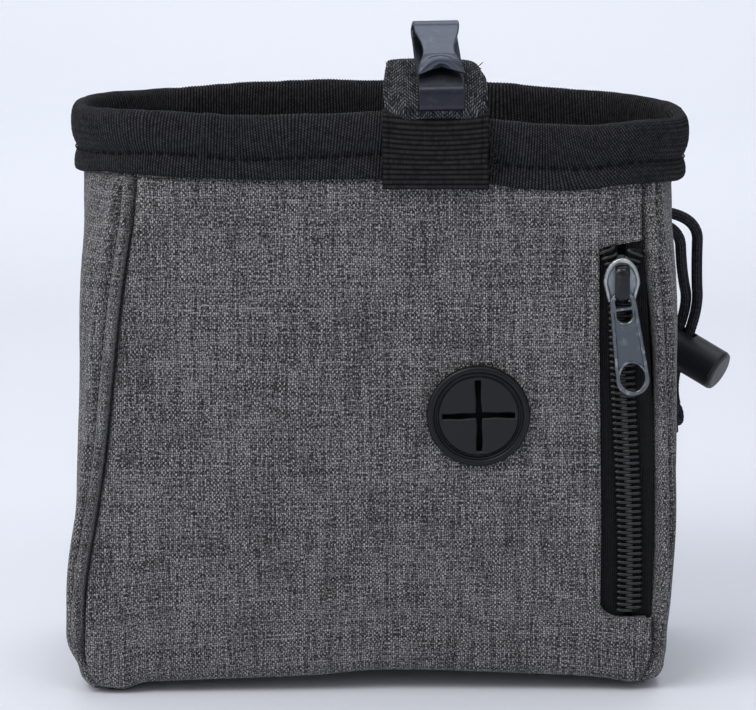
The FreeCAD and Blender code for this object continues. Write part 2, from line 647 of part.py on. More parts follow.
def sleeve_face():
    """How far the sleeve's front layer stands off the swing axis, at its inner face."""
    return size("dims.bind_in / 2 + dims.bind_out / 2 + dims.web") + 0.2


def make_loop():
    """The webbing sleeve that leans back from the rim and holds the clip's hidden leg."""
    web = size("dims.web")
    front_v = sleeve_face() + web / 2
    back_v = front_v - web - size("dims.sleeve_gap")
    top_u = 16.2
    bend = (front_v - back_v) / 2
    loop = doc.addObject("Part::Feature", "webbing_loop_cloth")
    points = [leaning(-0.6, front_v), leaning(top_u, front_v), leaning(top_u, back_v), leaning(4.6, back_v)]
    loop.Shape = strip_solid(points, [bend - 0.02, bend - 0.02], web, size("dims.tab_x"),
                             size("dims.tab_wide") - 0.6)
    slit = doc.addObject("Part::Box", "webbing_slit")
    slit.Length = size("dims.clip_wide") + 2.4
    slit.Width = 5.6
    slit.Height = web + 0.8
    slit.Placement = FreeCAD.Placement(
        V(size("dims.clip_x") - 0.5 - slit.Length.Value / 2, *leaning(-0.9, front_v - web / 2 - 0.4)),
        FreeCAD.Rotation(V(1, 0, 0), 45))
    return cut("webbing_loop", loop, slit)


def turned_clip(name, shape):
    """A piece of the clip in the document, turned a little about the upright through its plate."""
    piece = doc.addObject("Part::Feature", name)
    piece.Shape = shape
    plate = V(size("dims.clip_x"), size("dims.swing_y") - 5.2, 0)
    yaw = FreeCAD.Rotation(V(0, 0, 1), size("dims.clip_yaw"))
    piece.Placement = FreeCAD.Placement(V(), yaw, plate)
    return piece


def make_clip():
    """Spring steel: a leg inside the webbing, the front plate, the leaning strip, and the tongue."""
    steel = size("dims.steel")
    middle = size("dims.clip_x")
    wide = size("dims.clip_wide")
    leg_v = sleeve_face() - size("dims.sleeve_gap") / 2
    strip_v = 10.4
    plate_y = size("dims.swing_y") - 5.2
    plate_low = size("dims.swing_z") + 4.95
    plate_high = size("dims.swing_z") - 5.2 + strip_v / math.sqrt(0.5)
    points = [leaning(14.0, leg_v), leaning(4.4, leg_v), (plate_y, plate_low), (plate_y, plate_high),
              leaning(18.4, strip_v)]
    strip = turned_clip("belt_clip_strip", strip_solid(points, [1.2, 1.0, 2.4], steel, middle, wide))

    tongue_v = strip_v + 4.6
    path = [leaning(18.55, strip_v), leaning(20.7, strip_v), leaning(20.7, tongue_v),
            leaning(8.6, tongue_v - 2.6), leaning(6.2, tongue_v - 0.9)]
    blade = turned_clip("belt_clip_blade", strip_solid(path, [2.0, 2.0, 2.2], steel, middle, wide))
    doc.recompute()
    yaw = blade.Placement
    waists = []
    for side, word in ((-1, "left"), (1, "right")):
        waist = doc.addObject("Part::Cylinder", f"tongue_waist_{word}")
        waist.Radius = 13
        waist.Height = 14
        waist.Placement = yaw * FreeCAD.Placement(
            V(middle + side * (wide / 2 + 13 - 1.6), *leaning(12.4, strip_v + 1.4)),
            FreeCAD.Rotation(V(0, 0, 1), V(0, -1, 1)))
        waists.append(waist)
    return [strip, cut("belt_clip_tongue", blade, fuse("tongue_waists", *waists))]


LOCK_AXIS = V(0.794, -0.450, -0.405).normalize()
LOCK_WAY = V(0.352, -0.199, 0.914).normalize()


def lock_point(along, up):
    """A point of the cord lock: along its axis and up the cords' way through it."""
    centre = V(size("dims.lock_x"), size("dims.lock_y"), size("dims.lock_z"))
    return centre + LOCK_AXIS * along + LOCK_WAY * up


def make_cords():
    """Both free strands of the drawstring, from the hem to the knot."""
    off = size("dims.strand_off")
    eye_y = size("dims.eyelet_y")
    eye_z = size("dims.eyelet_z")
    start = size("dims.wide") / 2 - 5.6
    knot = V(75.0, 32.0, 54.5)
    above_knot = size("dims.knot_r") - 0.3
    routes = {
        "cord_strand_outer": [
            V(start, eye_y, eye_z + off), V(79.8, eye_y + 0.4, eye_z + off), V(80.0, 20.5, 95.0),
            lock_point(off, 11), lock_point(1.2 * off, -9), knot + V(off * 1.02, -off * 0.575, above_knot)],
        "cord_strand_inner": [
            V(start, eye_y, eye_z - off), V(75.2, eye_y + 0.4, eye_z - off), V(76.2, 19.5, 95.0),
            lock_point(-off, 11), lock_point(-1.2 * off, -9), knot + V(-off * 1.02, off * 0.575, above_knot)],
    }
    strands = []
    for name, points in routes.items():
        path, radii = rounded_path(points)
        first = path.Edges[0]
        section = Part.Wire(Part.makeCircle(size("dims.cord_d") / 2, first.valueAt(first.FirstParameter),
                                            first.tangentAt(first.FirstParameter)))
        strand = doc.addObject("Part::Feature", name)
        strand.Shape = path.makePipeShell([section], True, False)
        expected = math.pi * size("dims.cord_d") ** 2 / 4 * path.Length
        print(name, "length", round(path.Length, 1), "radii", [round(r, 1) for r in radii],
              "volume against section times length", round(strand.Shape.Volume / expected, 4))
        strands.append(strand)
    ball = doc.addObject("Part::Sphere", "cord_knot")
    bind(ball, Radius="dims.knot_r")
    ball.Placement.Base = knot
    return strands + [ball]


def make_eyelet():
    """A small grommet through the right gusset."""
    body = new_body("cord_eyelet", "dims.wide / 2", "dims.eyelet_y", "dims.eyelet_z")
    profile = body_sketch(body, "eyelet_profile", "XY_Plane")
    bound_polygon(profile, [
        ("-dims.cloth - 0.6", "dims.eyelet_hole"), ("0.7", "dims.eyelet_hole"), ("0.7", "dims.eyelet_rim - 0.3"),
        ("0.4", "dims.eyelet_rim"), ("0", "dims.eyelet_rim"), ("0", "dims.eyelet_neck"),
        ("-dims.cloth", "dims.eyelet_neck"), ("-dims.cloth", "dims.eyelet_rim"),
        ("-dims.cloth - 0.6", "dims.eyelet_rim")])
    revolve(body, "eyelet_ring", profile, "X_Axis")
    return body


def make_lock():
    """A barrel lock: the cup, the plunger through it, and the spring's turns joined in one sleeve between them."""
    turn = FreeCAD.Rotation(LOCK_AXIS, LOCK_WAY, V(), "XYZ")
    barrel = new_body("lock_barrel", "dims.lock_x", "dims.lock_y", "dims.lock_z", turn)
    cup = body_sketch(barrel, "barrel_profile", "XY_Plane")
    bound_polygon(cup, [
        ("dims.barrel_open", "dims.barrel_bore"), ("dims.barrel_shut - 1.2", "dims.barrel_bore"),
        ("dims.barrel_shut - 1.2", "0.001"), ("dims.barrel_shut", "0.001"),
        ("dims.barrel_shut", "dims.barrel_r - 1.0"), ("dims.barrel_shut - 0.3", "dims.barrel_r - 0.3"),
        ("dims.barrel_shut - 1.0", "dims.barrel_r"), ("dims.barrel_open + 0.5", "dims.barrel_r"),
        ("dims.barrel_open", "dims.barrel_r - 0.5")])
    revolve(barrel, "barrel_cup", cup, "X_Axis")
    slot = body_sketch(barrel, "barrel_slot_outline", "XZ_Plane")
    bound_polygon(slot, rectangle("-3.6", "-dims.slot_wide / 2", "3.6", "dims.slot_wide / 2"))
    pocket(barrel, "barrel_slot", slot, "14", midplane=True)

    plunger = new_body("lock_plunger", "dims.lock_x", "dims.lock_y", "dims.lock_z", turn)
    rod = body_sketch(plunger, "plunger_profile", "XY_Plane")
    bound_polygon(rod, [
        ("dims.plunger_out", "0.001"), ("dims.plunger_in", "0.001"), ("dims.plunger_in", "dims.plunger_r - 0.4"),
        ("dims.plunger_in - 0.4", "dims.plunger_r"), ("dims.plunger_out + 1.0", "dims.plunger_r"),
        ("dims.plunger_out + 0.3", "dims.plunger_r - 0.4"), ("dims.plunger_out", "dims.plunger_r - 1.2")])
    revolve(plunger, "plunger_rod", rod, "X_Axis")
    way = body_sketch(plunger, "plunger_slot_outline", "XZ_Plane")
    bound_polygon(way, rectangle("-6.1", "-dims.slot_wide / 2", "3.2", "dims.slot_wide / 2"))
    pocket(plunger, "plunger_slot", way, "14", midplane=True)

    spring = new_body("lock_spring", "dims.lock_x", "dims.lock_y", "dims.lock_z", turn)
    turns = body_sketch(spring, "spring_profile", "XY_Plane")
    first = "dims.plunger_in + 0.3"
    edge = []
    for number in range(6):
        edge += [(f"{first} + {0.9 * number:.1f}", "2.1"), (f"{first} + {0.9 * number + 0.2:.1f}", "2.6"),
                 (f"{first} + {0.9 * number + 0.5:.1f}", "2.6"), (f"{first} + {0.9 * number + 0.7:.1f}", "2.1")]
    bound_polygon(turns, [(first, "1.8")] + edge + [(f"{first} + 5.2", "1.8")])
    revolve(spring, "spring_turns", turns, "X_Axis")
    return [barrel, plunger, spring]


# ---------------------------------------------------------------- build, check, export

def export(parts):
    """Check every object, then write one file for each sub-part."""
    doc.recompute()
    for thing in doc.Objects:
        if "Invalid" in thing.State or "Error" in thing.State:
            raise RuntimeError(f"{thing.Name} did not compute: {thing.State}")
    os.makedirs("parts", exist_ok=True)
    for part in parts:
        shape = part.Shape
        if shape.isNull() or not shape.isValid() or shape.Volume <= 0:
            raise RuntimeError(f"{part.Name} has no valid solid")
        part.Label = part.Name
        print(part.Name, "solids", len(shape.Solids), "volume", round(shape.Volume, 1),
              "box", [round(v, 1) for v in (shape.BoundBox.XMin, shape.BoundBox.YMin, shape.BoundBox.ZMin,
                                            shape.BoundBox.XMax, shape.BoundBox.YMax, shape.BoundBox.ZMax)])
        shape.exportStep(f"parts/{part.Name}.step")


fill_sheet()
pieces = make_shell() + make_binding() + make_inside() + make_zip() + make_port()
pieces += [make_anchor(), make_loop()] + make_clip()
pieces += [make_eyelet()] + make_cords() + make_lock()
export(pieces)
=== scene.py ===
"""The look of a dog-treat pouch, built round its CAD frame.

Shapes are worked out in millimetres, X right, Y away from the viewer, Z up, and made in metres.
"""

import json
import math

import bpy
import numpy as np
from mathutils import Matrix, Vector

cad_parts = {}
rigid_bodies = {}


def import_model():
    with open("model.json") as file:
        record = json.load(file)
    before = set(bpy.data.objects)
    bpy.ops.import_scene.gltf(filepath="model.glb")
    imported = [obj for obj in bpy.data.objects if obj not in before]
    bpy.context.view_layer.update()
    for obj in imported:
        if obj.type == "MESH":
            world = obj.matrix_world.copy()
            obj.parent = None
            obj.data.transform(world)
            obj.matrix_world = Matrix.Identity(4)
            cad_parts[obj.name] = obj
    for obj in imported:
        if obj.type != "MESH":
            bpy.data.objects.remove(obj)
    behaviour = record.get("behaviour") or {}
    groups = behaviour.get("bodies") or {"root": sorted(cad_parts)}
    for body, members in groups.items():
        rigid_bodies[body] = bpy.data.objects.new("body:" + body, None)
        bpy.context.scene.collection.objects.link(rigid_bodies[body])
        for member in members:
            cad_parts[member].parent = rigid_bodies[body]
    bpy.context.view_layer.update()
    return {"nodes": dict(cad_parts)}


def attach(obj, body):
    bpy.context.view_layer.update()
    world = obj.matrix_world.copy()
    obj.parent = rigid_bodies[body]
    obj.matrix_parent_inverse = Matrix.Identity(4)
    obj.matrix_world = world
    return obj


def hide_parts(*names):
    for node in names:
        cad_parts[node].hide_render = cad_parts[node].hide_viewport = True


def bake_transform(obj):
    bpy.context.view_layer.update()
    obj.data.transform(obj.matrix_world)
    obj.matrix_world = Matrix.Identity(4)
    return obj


for leftover in list(bpy.data.objects):
    bpy.data.objects.remove(leftover)
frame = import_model()
MM = 0.001
rng = np.random.default_rng(11)


# ---------------------------------------------------------------- camera, light, floor

def aim(thing, target):
    """Turns a light to face a place."""
    thing.rotation_euler = (Vector(target) - thing.location).to_track_quat("-Z", "Y").to_euler()


lens = bpy.data.cameras.new("camera")
lens.lens, lens.sensor_width, lens.clip_start, lens.clip_end = 160.1, 36.0, 0.01, 20.0
camera = bpy.data.objects.new("camera", lens)
camera.location = (0.0, -0.809, 0.261)
camera.rotation_euler = (math.radians(90 - 12.755), 0.0, 0.0)
bpy.context.scene.collection.objects.link(camera)
bpy.context.scene.camera = camera
bpy.context.scene.view_settings.view_transform = "Standard"

world = bpy.data.worlds.new("studio")
bpy.context.scene.world = world
world.use_nodes = True
world.node_tree.nodes["Background"].inputs["Color"].default_value = (0.92, 0.95, 1.0, 1.0)
world.node_tree.nodes["Background"].inputs["Strength"].default_value = 0.40


def softbox(name, place, target, width, height, power, colour=(1.0, 1.0, 1.0)):
    """A rectangular lamp; places are in metres."""
    data = bpy.data.lights.new(name, "AREA")
    data.shape, data.size, data.size_y = "RECTANGLE", width, height
    data.energy, data.color = power, colour
    lamp = bpy.data.objects.new(name, data)
    lamp.location = place
    aim(lamp, target)
    bpy.context.scene.collection.objects.link(lamp)


softbox("key", (-0.55, -0.66, 1.05), (0.0, 0.0, 0.06), 0.7, 0.6, 6.6)
softbox("glint", (0.28, -0.62, 1.1), (0.0, 0.0, 0.1), 0.4, 0.4, 1.5)
softbox("left", (-1.0, -0.35, 0.5), (0.0, 0.0, 0.06), 0.6, 0.6, 1.9)
softbox("fill", (0.85, -0.8, 0.55), (0.0, 0.0, 0.06), 0.8, 0.8, 1.1, (0.93, 0.96, 1.0))
softbox("top", (0.0, 0.3, 1.15), (0.0, 0.0, 0.05), 1.1, 0.8, 4.9, (0.95, 0.97, 1.0))
softbox("rear", (0.0, 0.45, 0.8), (0.0, 1.6, 0.75), 1.2, 0.5, 5.1)


# ---------------------------------------------------------------- small tools

def through(*points):
    """A smooth curve through (x, value) points, level past its ends."""
    xs, ys = np.array(points, float).T
    slopes = np.gradient(ys, xs)

    def value(x):
        x = np.clip(np.asarray(x, float), xs[0], xs[-1])
        i = np.clip(np.searchsorted(xs, x, side="right") - 1, 0, len(xs) - 2)
        h = xs[i + 1] - xs[i]
        t = (x - xs[i]) / h
        return ((2 * t**3 - 3 * t**2 + 1) * ys[i] + (t**3 - 2 * t**2 + t) * h * slopes[i]
                + (3 * t**2 - 2 * t**3) * ys[i + 1] + (t**3 - t**2) * h * slopes[i + 1])

    return value


LATTICE = rng.uniform(-1, 1, (64, 64))


def rolling(u, v, size, seed=0):
    """Smooth random waves from -1 to 1, about size across."""
    x, y = np.asarray(u, float) / size + 7.3 * seed, np.asarray(v, float) / size + 3.1 * seed
    i, j = np.floor(x).astype(int), np.floor(y).astype(int)
    fx, fy = x - i, y - j
    fx, fy = fx * fx * (3 - 2 * fx), fy * fy * (3 - 2 * fy)
    corner = lambda a, b: LATTICE[(i + a) % 64, (j + b) % 64]
    return ((corner(0, 0) * (1 - fx) + corner(1, 0) * fx) * (1 - fy)
            + (corner(0, 1) * (1 - fx) + corner(1, 1) * fx) * fy)


def bump_at(x, middle, width):
    """A rounded bump of height 1, width across at its foot."""
    t = np.clip(np.abs((x - middle) / (width / 2)), 0, 1)
    return (1 - t * t) ** 2


def ease(x, low, high):
    """A smooth step from 0 at low to 1 at high."""
    t = np.clip((x - low) / (high - low), 0, 1)
    return t * t * (3 - 2 * t)


def grid_normals(grid, closed):
    """Unit normals of a grid of points, rows by columns, whose columns may close."""
    if closed:
        across = np.roll(grid, -1, 1) - np.roll(grid, 1, 1)
    else:
        across = np.gradient(grid, axis=1)
    along = np.gradient(grid, axis=0)
    normal = np.cross(across, along)
    return normal / np.maximum(np.linalg.norm(normal, axis=2, keepdims=True), 1e-9)


def mesh_piece(name, points, faces, material, body, uv=None, smooth=True):
    """A mesh from points in millimetres; uv gives a point in the cloth for every face corner."""
    mesh = bpy.data.meshes.new(name)
    mesh.from_pydata((np.asarray(points, float) * MM).tolist(), [], [list(map(int, f)) for f in faces])
    mesh.validate()
    if uv is not None:
        layer = mesh.uv_layers.new(name="Weave")
        layer.data.foreach_set("uv", np.asarray(uv, np.float32).ravel())
    mesh.polygons.foreach_set("use_smooth", np.full(len(mesh.polygons), smooth))
    mesh.materials.append(material)
    mesh.update()
    piece = bpy.data.objects.new(name, mesh)
    bpy.context.scene.collection.objects.link(piece)
    if body:
        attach(piece, body)
    return piece


def grid_faces(rows, columns, closed, keep=None):
    """Corner numbers of a grid's faces, and the row and column of each corner."""
    last = columns if closed else columns - 1
    r, c = np.meshgrid(np.arange(rows - 1), np.arange(last), indexing="ij")
    if keep is not None:
        r, c = r[keep], c[keep]
    r, c = r.ravel(), c.ravel()
    rr = np.stack([r, r, r + 1, r + 1], 1)
    cc = np.stack([c, c + 1, c + 1, c], 1)
    return rr * columns + cc % columns, rr, cc


def grid_piece(name, grid, material, body, closed=False, u=None, v=None, keep=None, caps=False, flip=False):
    """A piece from a grid of points. u and v, in millimetres, have one column more when it closes."""
    rows, columns = grid.shape[:2]
    faces, rr, cc = grid_faces(rows, columns, closed, keep)
    if flip:
        faces, rr, cc = faces[:, ::-1], rr[:, ::-1], cc[:, ::-1]
    corners = None
    if u is not None:
        corners = np.stack([u[rr, cc], v[rr, cc]], 2).reshape(-1, 2)
    points = grid.reshape(-1, 3)
    faces = faces.tolist()
    if caps:
        middle = len(points)
        points = np.vstack([points, grid[0].mean(0), grid[-1].mean(0)])
        extra = []
        for c in range(columns):
            n = (c + 1) % columns
            a = [middle, n, c]
            b = [middle + 1, (rows - 1) * columns + c, (rows - 1) * columns + n]
            faces += [a[::-1], b[::-1]] if flip else [a, b]
            if u is not None:
                extra += [(u[0, c], v[0, c])] * 3 + [(u[-1, c], v[-1, c])] * 3
        if extra:
            corners = np.vstack([corners, np.array(extra)])
    return mesh_piece(name, points, faces, material, body, corners)


def closed_columns(values):
    """The same values with the first column again after the last."""
    return np.concatenate([values, values[:, :1]], 1)


def lengths(path):
    """The distance along a path of points, from its start."""
    return np.concatenate([[0.0], np.cumsum(np.linalg.norm(np.diff(path, axis=0), axis=1))])


def spaced(path, step):
    """The same path with its points a step apart."""
    run = lengths(path)
    count = max(2, int(round(run[-1] / step)) + 1)
    at = np.linspace(0, run[-1], count)
    return np.stack([np.interp(at, run, path[:, k]) for k in range(3)], 1)


def frames_along(path):
    """Unit tangents, normals and binormals that turn as little as they can along a path."""
    tangents = np.gradient(path, axis=0)
    tangents /= np.linalg.norm(tangents, axis=1, keepdims=True)
    normal = np.cross(tangents[0], (0.3, 0.2, 0.93))
    normals = []
    for t in tangents:
        normal = normal - t * (normal @ t)
        normal /= np.linalg.norm(normal)
        normals.append(normal.copy())
    normals = np.array(normals)
    return tangents, normals, np.cross(tangents, normals)


def tube(name, path, radius, sides, material, body, relief=None, caps=True):
    """A round tube along a path; relief(angle, run) adds to its radius."""
    _, normals, binormals = frames_along(path)
    run = lengths(path)[:, None]
    angle = np.linspace(0, 2 * math.pi, sides + 1)[None, :]
    radii = np.broadcast_to(np.asarray(radius, float).reshape(-1, 1), (len(path), sides + 1)).copy()
    if relief:
        radii = radii + relief(angle, run)
    ring = (normals[:, None, :] * np.cos(angle)[..., None] + binormals[:, None, :] * np.sin(angle)[..., None])
    grid = path[:, None, :] + ring * radii[..., None]
    u = np.broadcast_to(angle * float(np.mean(radius)), radii.shape)
    v = np.broadcast_to(run, radii.shape)
    return grid_piece(name, grid[:, :-1], material, body, True, u, v, caps=caps)


def spin(name, profile, centre, axis, material, body, sides):
    """A turned piece about an axis that isn't upright; profile is (radius, height) points."""
    axis = np.array(axis, float) / np.linalg.norm(axis)
    side = np.cross((0, 0, 1), axis)
    side /= np.linalg.norm(side)
    other = np.cross(axis, side)
    angle = np.linspace(0, 2 * math.pi, sides, endpoint=False)[None, :]
    profile = np.array(profile, float)
    r = np.repeat(profile[:, :1], sides, 1)
    h = np.repeat(profile[:, 1:2], sides, 1)
    grid = (np.array(centre, float) + side * (r * np.cos(angle))[..., None]
            + other * (r * np.sin(angle))[..., None] + axis * h[..., None])
    turned = np.linspace(0, 2 * math.pi, sides + 1)[None, :] * profile[:, :1].max()
    u = np.broadcast_to(turned, (len(profile), sides + 1))
    v = np.broadcast_to(lengths(profile)[:, None], u.shape)
    return grid_piece(name, grid, material, body, True, u, v)


def plate(name, distance, height, low, high, step, place, material, body, back=0.0, trim=None):
    """A flat part: distance(u, v) is negative inside its outline, and height(u, v, d) is its face.

    place(u, v, height) puts it in the bag, back is its rear face's height, and trim is a second material
    with the test for where it shows.
    """
    u, v = np.meshgrid(*(np.arange(a, b + step, step) for a, b in zip(low, high)))
    inside = distance(u, v) < 0.4 * step
    keep = inside[:-1, :-1] & inside[1:, :-1] & inside[:-1, 1:] & inside[1:, 1:]
    wide = np.pad(keep, 1)
    near = [wide[:-1, :-1], wide[:-1, 1:], wide[1:, :-1], wide[1:, 1:]]
    border = (near[0] | near[1] | near[2] | near[3]) & ~(near[0] & near[1] & near[2] & near[3])
    tiny = 1e-3
    for _ in range(4):
        d = distance(u, v)
        du, dv = (distance(u + tiny, v) - d) / tiny, (distance(u, v + tiny) - d) / tiny
        size = np.maximum(du * du + dv * dv, 0.2)
        u, v = np.where(border, u - d * du / size, u), np.where(border, v - d * dv / size, v)
    d = np.minimum(distance(u, v), 0)
    rise = height(u, v, d)
    rows, columns = u.shape
    rear = np.full_like(rise, back, dtype=float)
    points = np.concatenate([place(u, v, rise).reshape(-1, 3), place(u, v, rear).reshape(-1, 3)])
    far = rows * columns
    r, c = np.where(keep)
    a = r * columns + c
    quads = [np.stack([a, a + 1, a + columns + 1, a + columns], 1),
             np.stack([a + columns, a + columns + 1, a + 1, a], 1) + far]
    sides = ((-1, 0, 1, 0), (1, 0, columns, columns + 1), (0, -1, 0, columns), (0, 1, columns + 1, 1))
    for dr, dc, p, q in sides:
        edge = a[~wide[r + 1 + dr, c + 1 + dc]]
        quads.append(np.stack([edge + p, edge + q, edge + q + far, edge + p + far], 1))
    quads = np.vstack(quads)
    used, faces = np.unique(quads, return_inverse=True)
    faces = faces.reshape(quads.shape)
    flat = np.tile(np.stack([u.ravel(), v.ravel()], 1), (2, 1))
    piece = mesh_piece(name, points[used], faces, material, body, flat[quads].reshape(-1, 2))
    if trim:
        piece.data.materials.append(trim[0])
        middle = flat[quads].mean(1)
        marked = trim[1](middle[:, 0], middle[:, 1]) & (quads.min(1) < far)
        piece.data.polygons.foreach_set("material_index", marked.astype(np.int32))
    piece.data.set_sharp_from_angle(angle=math.radians(38))
    return piece


def sweep(name, path, reach_x, reach_n, material, body, sides=28):
    """An oval bar along a path that stays at one x, reach_x across and reach_n through from its middle."""
    ahead = np.gradient(path, axis=0)
    ahead /= np.linalg.norm(ahead, axis=1, keepdims=True)
    out = np.cross(ahead, (1.0, 0, 0))
    out /= np.linalg.norm(out, axis=1, keepdims=True)
    angle = np.linspace(0, 2 * math.pi, sides, endpoint=False)
    wide = np.broadcast_to(np.asarray(reach_x, float).reshape(-1, 1), (len(path), 1))
    tall = np.broadcast_to(np.asarray(reach_n, float).reshape(-1, 1), (len(path), 1))
    square = lambda t: np.sign(t) * np.abs(t) ** 0.97
    grid = path[:, None, :] + (out[:, None, :] * (tall * square(np.sin(angle)))[..., None])
    grid[..., 0] += wide * square(np.cos(angle))
    run = lengths(path)
    u = np.repeat(np.linspace(0, 6, sides + 1)[None, :], len(path), 0)
    v = np.repeat(run[:, None], sides + 1, 1)
    return grid_piece(name, grid, material, body, True, u, v, caps=True, flip=True)


def join_pieces(name, pieces):
    """Several meshes made into one piece."""
    with bpy.context.temp_override(active_object=pieces[0], selected_editable_objects=pieces):
        bpy.ops.object.join()
    pieces[0].name = name
    return pieces[0]


# ---------------------------------------------------------------- materials

class Recipe:
    """A Principled material, with short ways to add nodes to it."""

    def __init__(self, name, **values):
        self.material = bpy.data.materials.new(name)
        self.material.use_nodes = True
        self.tree = self.material.node_tree
        self.shader = self.tree.nodes["Principled BSDF"]
        for socket, value in values.items():
            self.shader.inputs[socket.replace("_", " ")].default_value = value

    def put(self, socket, source):
        if isinstance(source, bpy.types.NodeSocket):
            self.tree.links.new(source, socket)
        else:
            socket.default_value = source

    def add(self, kind, *inputs, **settings):
        node = self.tree.nodes.new("ShaderNode" + kind)
        named = settings.pop("named", {})
        for key, value in settings.items():
            setattr(node, key, value)
        for number, value in enumerate(inputs):
            if value is not None:
                self.put(node.inputs[number], value)
        for key, value in named.items():
            self.put(node.inputs[key], value)
        return node

    def math(self, operation, *inputs):
        return self.add("Math", *inputs, operation=operation).outputs[0]

    def weave_at(self):
        parts = self.add("SeparateXYZ", self.add("UVMap", uv_map="Weave").outputs[0])
        return parts.outputs[0], parts.outputs[1]

    def place_at(self):
        return self.add("TexCoord").outputs["Object"]

    def noise(self, vector, scale, detail=2.0, rough=0.5, dimensions="3D"):
        node = self.add("TexNoise", noise_dimensions=dimensions,
                        named={"Vector": vector, "Scale": scale, "Detail": detail, "Roughness": rough})
        return node.outputs[0]

    def vector(self, x, y, z=0.0):
        return self.add("CombineXYZ", x, y, z).outputs[0]

    def speck(self, x, y):
        return self.add("TexWhiteNoise", self.vector(x, y), noise_dimensions="2D").outputs[0]

    def ramp(self, factor, *stops):
        node = self.add("ValToRGB", factor)
        elements = node.color_ramp.elements
        while len(elements) < len(stops):
            elements.new(0.5)
        for element, (place, colour) in zip(elements, stops):
            element.position = place
            element.color = (*colour, 1.0) if len(colour) == 3 else colour
        return node.outputs[0]

    def mix(self, factor, a, b, kind="MIX"):
        node = self.add("Mix", data_type="RGBA", blend_type=kind)
        self.put(node.inputs[0], factor)
        self.put(node.inputs[6], a if isinstance(a, bpy.types.NodeSocket) else (*a, 1.0))
        self.put(node.inputs[7], b if isinstance(b, bpy.types.NodeSocket) else (*b, 1.0))
        return node.outputs[2]

    def shade(self, **sockets):
        for socket, source in sockets.items():
            self.put(self.shader.inputs[socket.replace("_", " ")], source)
        return self

    def relief(self, height, depth, strength=1.0):
        """Fine relief of the given depth in millimetres."""
        node = self.add("Bump", named={"Strength": strength, "Distance": depth * MM, "Height": height})
        self.put(self.shader.inputs["Normal"], node.outputs[0])
        return self


def heather_cloth(name, pitch=0.50):
    """Plain-woven melange polyester: every thread has its own tone, and slubs run along the threads."""
    m = Recipe(name, Roughness=0.82, Specular_IOR_Level=0.32)
    m.shade(Sheen_Weight=0.12, Sheen_Roughness=0.45)
    u, v = m.weave_at()
    spread = m.vector(u, v)
    drift_u = m.math("MULTIPLY_ADD", m.noise(spread, 0.09), 0.9, -0.45)
    drift_v = m.math("MULTIPLY_ADD", m.noise(m.vector(v, u, 4.0), 0.11), 0.7, -0.35)
    jolt_u, jolt_v = m.noise(m.vector(u, v, 2.0), 1.0), m.noise(m.vector(u, v, 6.0), 1.1)
    drift_u = m.math("ADD", drift_u, m.math("MULTIPLY_ADD", jolt_u, 0.70, -0.35))
    drift_v = m.math("ADD", drift_v, m.math("MULTIPLY_ADD", jolt_v, 0.76, -0.38))
    a = m.math("DIVIDE", m.math("ADD", u, drift_u), pitch)
    b = m.math("DIVIDE", m.math("ADD", v, drift_v), pitch * 1.18)
    row, column = m.math("FLOOR", b), m.math("FLOOR", a)
    fa = m.math("MULTIPLY_ADD", m.math("FRACT", a), 2.0, -1.0)
    fb = m.math("MULTIPLY_ADD", m.math("FRACT", b), 2.0, -1.0)
    over = m.math("FLOORED_MODULO", m.math("ADD", row, column), 2.0)
    round_a = m.math("SUBTRACT", 1.0, m.math("MULTIPLY", fa, fa))
    round_b = m.math("SUBTRACT", 1.0, m.math("MULTIPLY", fb, fb))
    soft_a = m.math("MULTIPLY_ADD", round_a, 0.55, 0.45)
    soft_b = m.math("MULTIPLY_ADD", round_b, 0.38, 0.62)
    up = m.math("MULTIPLY", round_a, soft_b)
    flat = m.math("MULTIPLY", round_b, soft_a)
    under = m.math("SUBTRACT", 1.0, over)
    height = m.math("ADD", m.math("MULTIPLY", up, under), m.math("MULTIPLY", flat, over))
    down_warp = m.vector(m.math("MULTIPLY", column, 5.37), m.math("MULTIPLY", b, 0.035))
    along_weft = m.vector(m.math("MULTIPLY", a, 0.03), m.math("MULTIPLY", row, 5.91), 9.0)
    long_warp, long_weft = m.noise(down_warp, 1.0, 2.0, 0.6), m.noise(along_weft, 1.0, 2.0, 0.6)
    speck = m.speck(column, row)
    fibre = m.noise(m.vector(m.math("MULTIPLY", a, 1.25), m.math("MULTIPLY", b, 1.05)), 1.0, 1.5)
    warp_tone = m.math("MULTIPLY_ADD", m.math("SUBTRACT", long_warp, 0.5), 2.6, 0.62)
    weft_tone = m.math("MULTIPLY_ADD", m.math("SUBTRACT", long_weft, 0.5), 1.9, 0.36)
    tone = m.math("ADD", m.math("MULTIPLY", warp_tone, under), m.math("MULTIPLY", weft_tone, over))
    tone = m.math("ADD", tone, m.math("MULTIPLY_ADD", speck, 0.36, -0.18))
    tone = m.math("ADD", tone, m.math("MULTIPLY_ADD", fibre, 3.0, -1.5))
    cloud = m.noise(spread, 0.035, 2.0)
    tone = m.math("ADD", tone, m.math("MULTIPLY_ADD", cloud, 0.3, -0.15))
    colour = m.ramp(tone, (0.0, (0.016, 0.015, 0.016)), (0.33, (0.095, 0.092, 0.095)),
                    (0.66, (0.225, 0.218, 0.222)), (1.0, (0.375, 0.363, 0.368)))
    gap = m.math("MAXIMUM", m.math("MULTIPLY_ADD", height, 1.20, -0.04), 0.03)
    shadow = m.vector(gap, gap, gap)
    m.shade(Base_Color=m.mix(1.0, colour, shadow, "MULTIPLY"))
    m.relief(height, 0.13, 0.9)
    return m.material


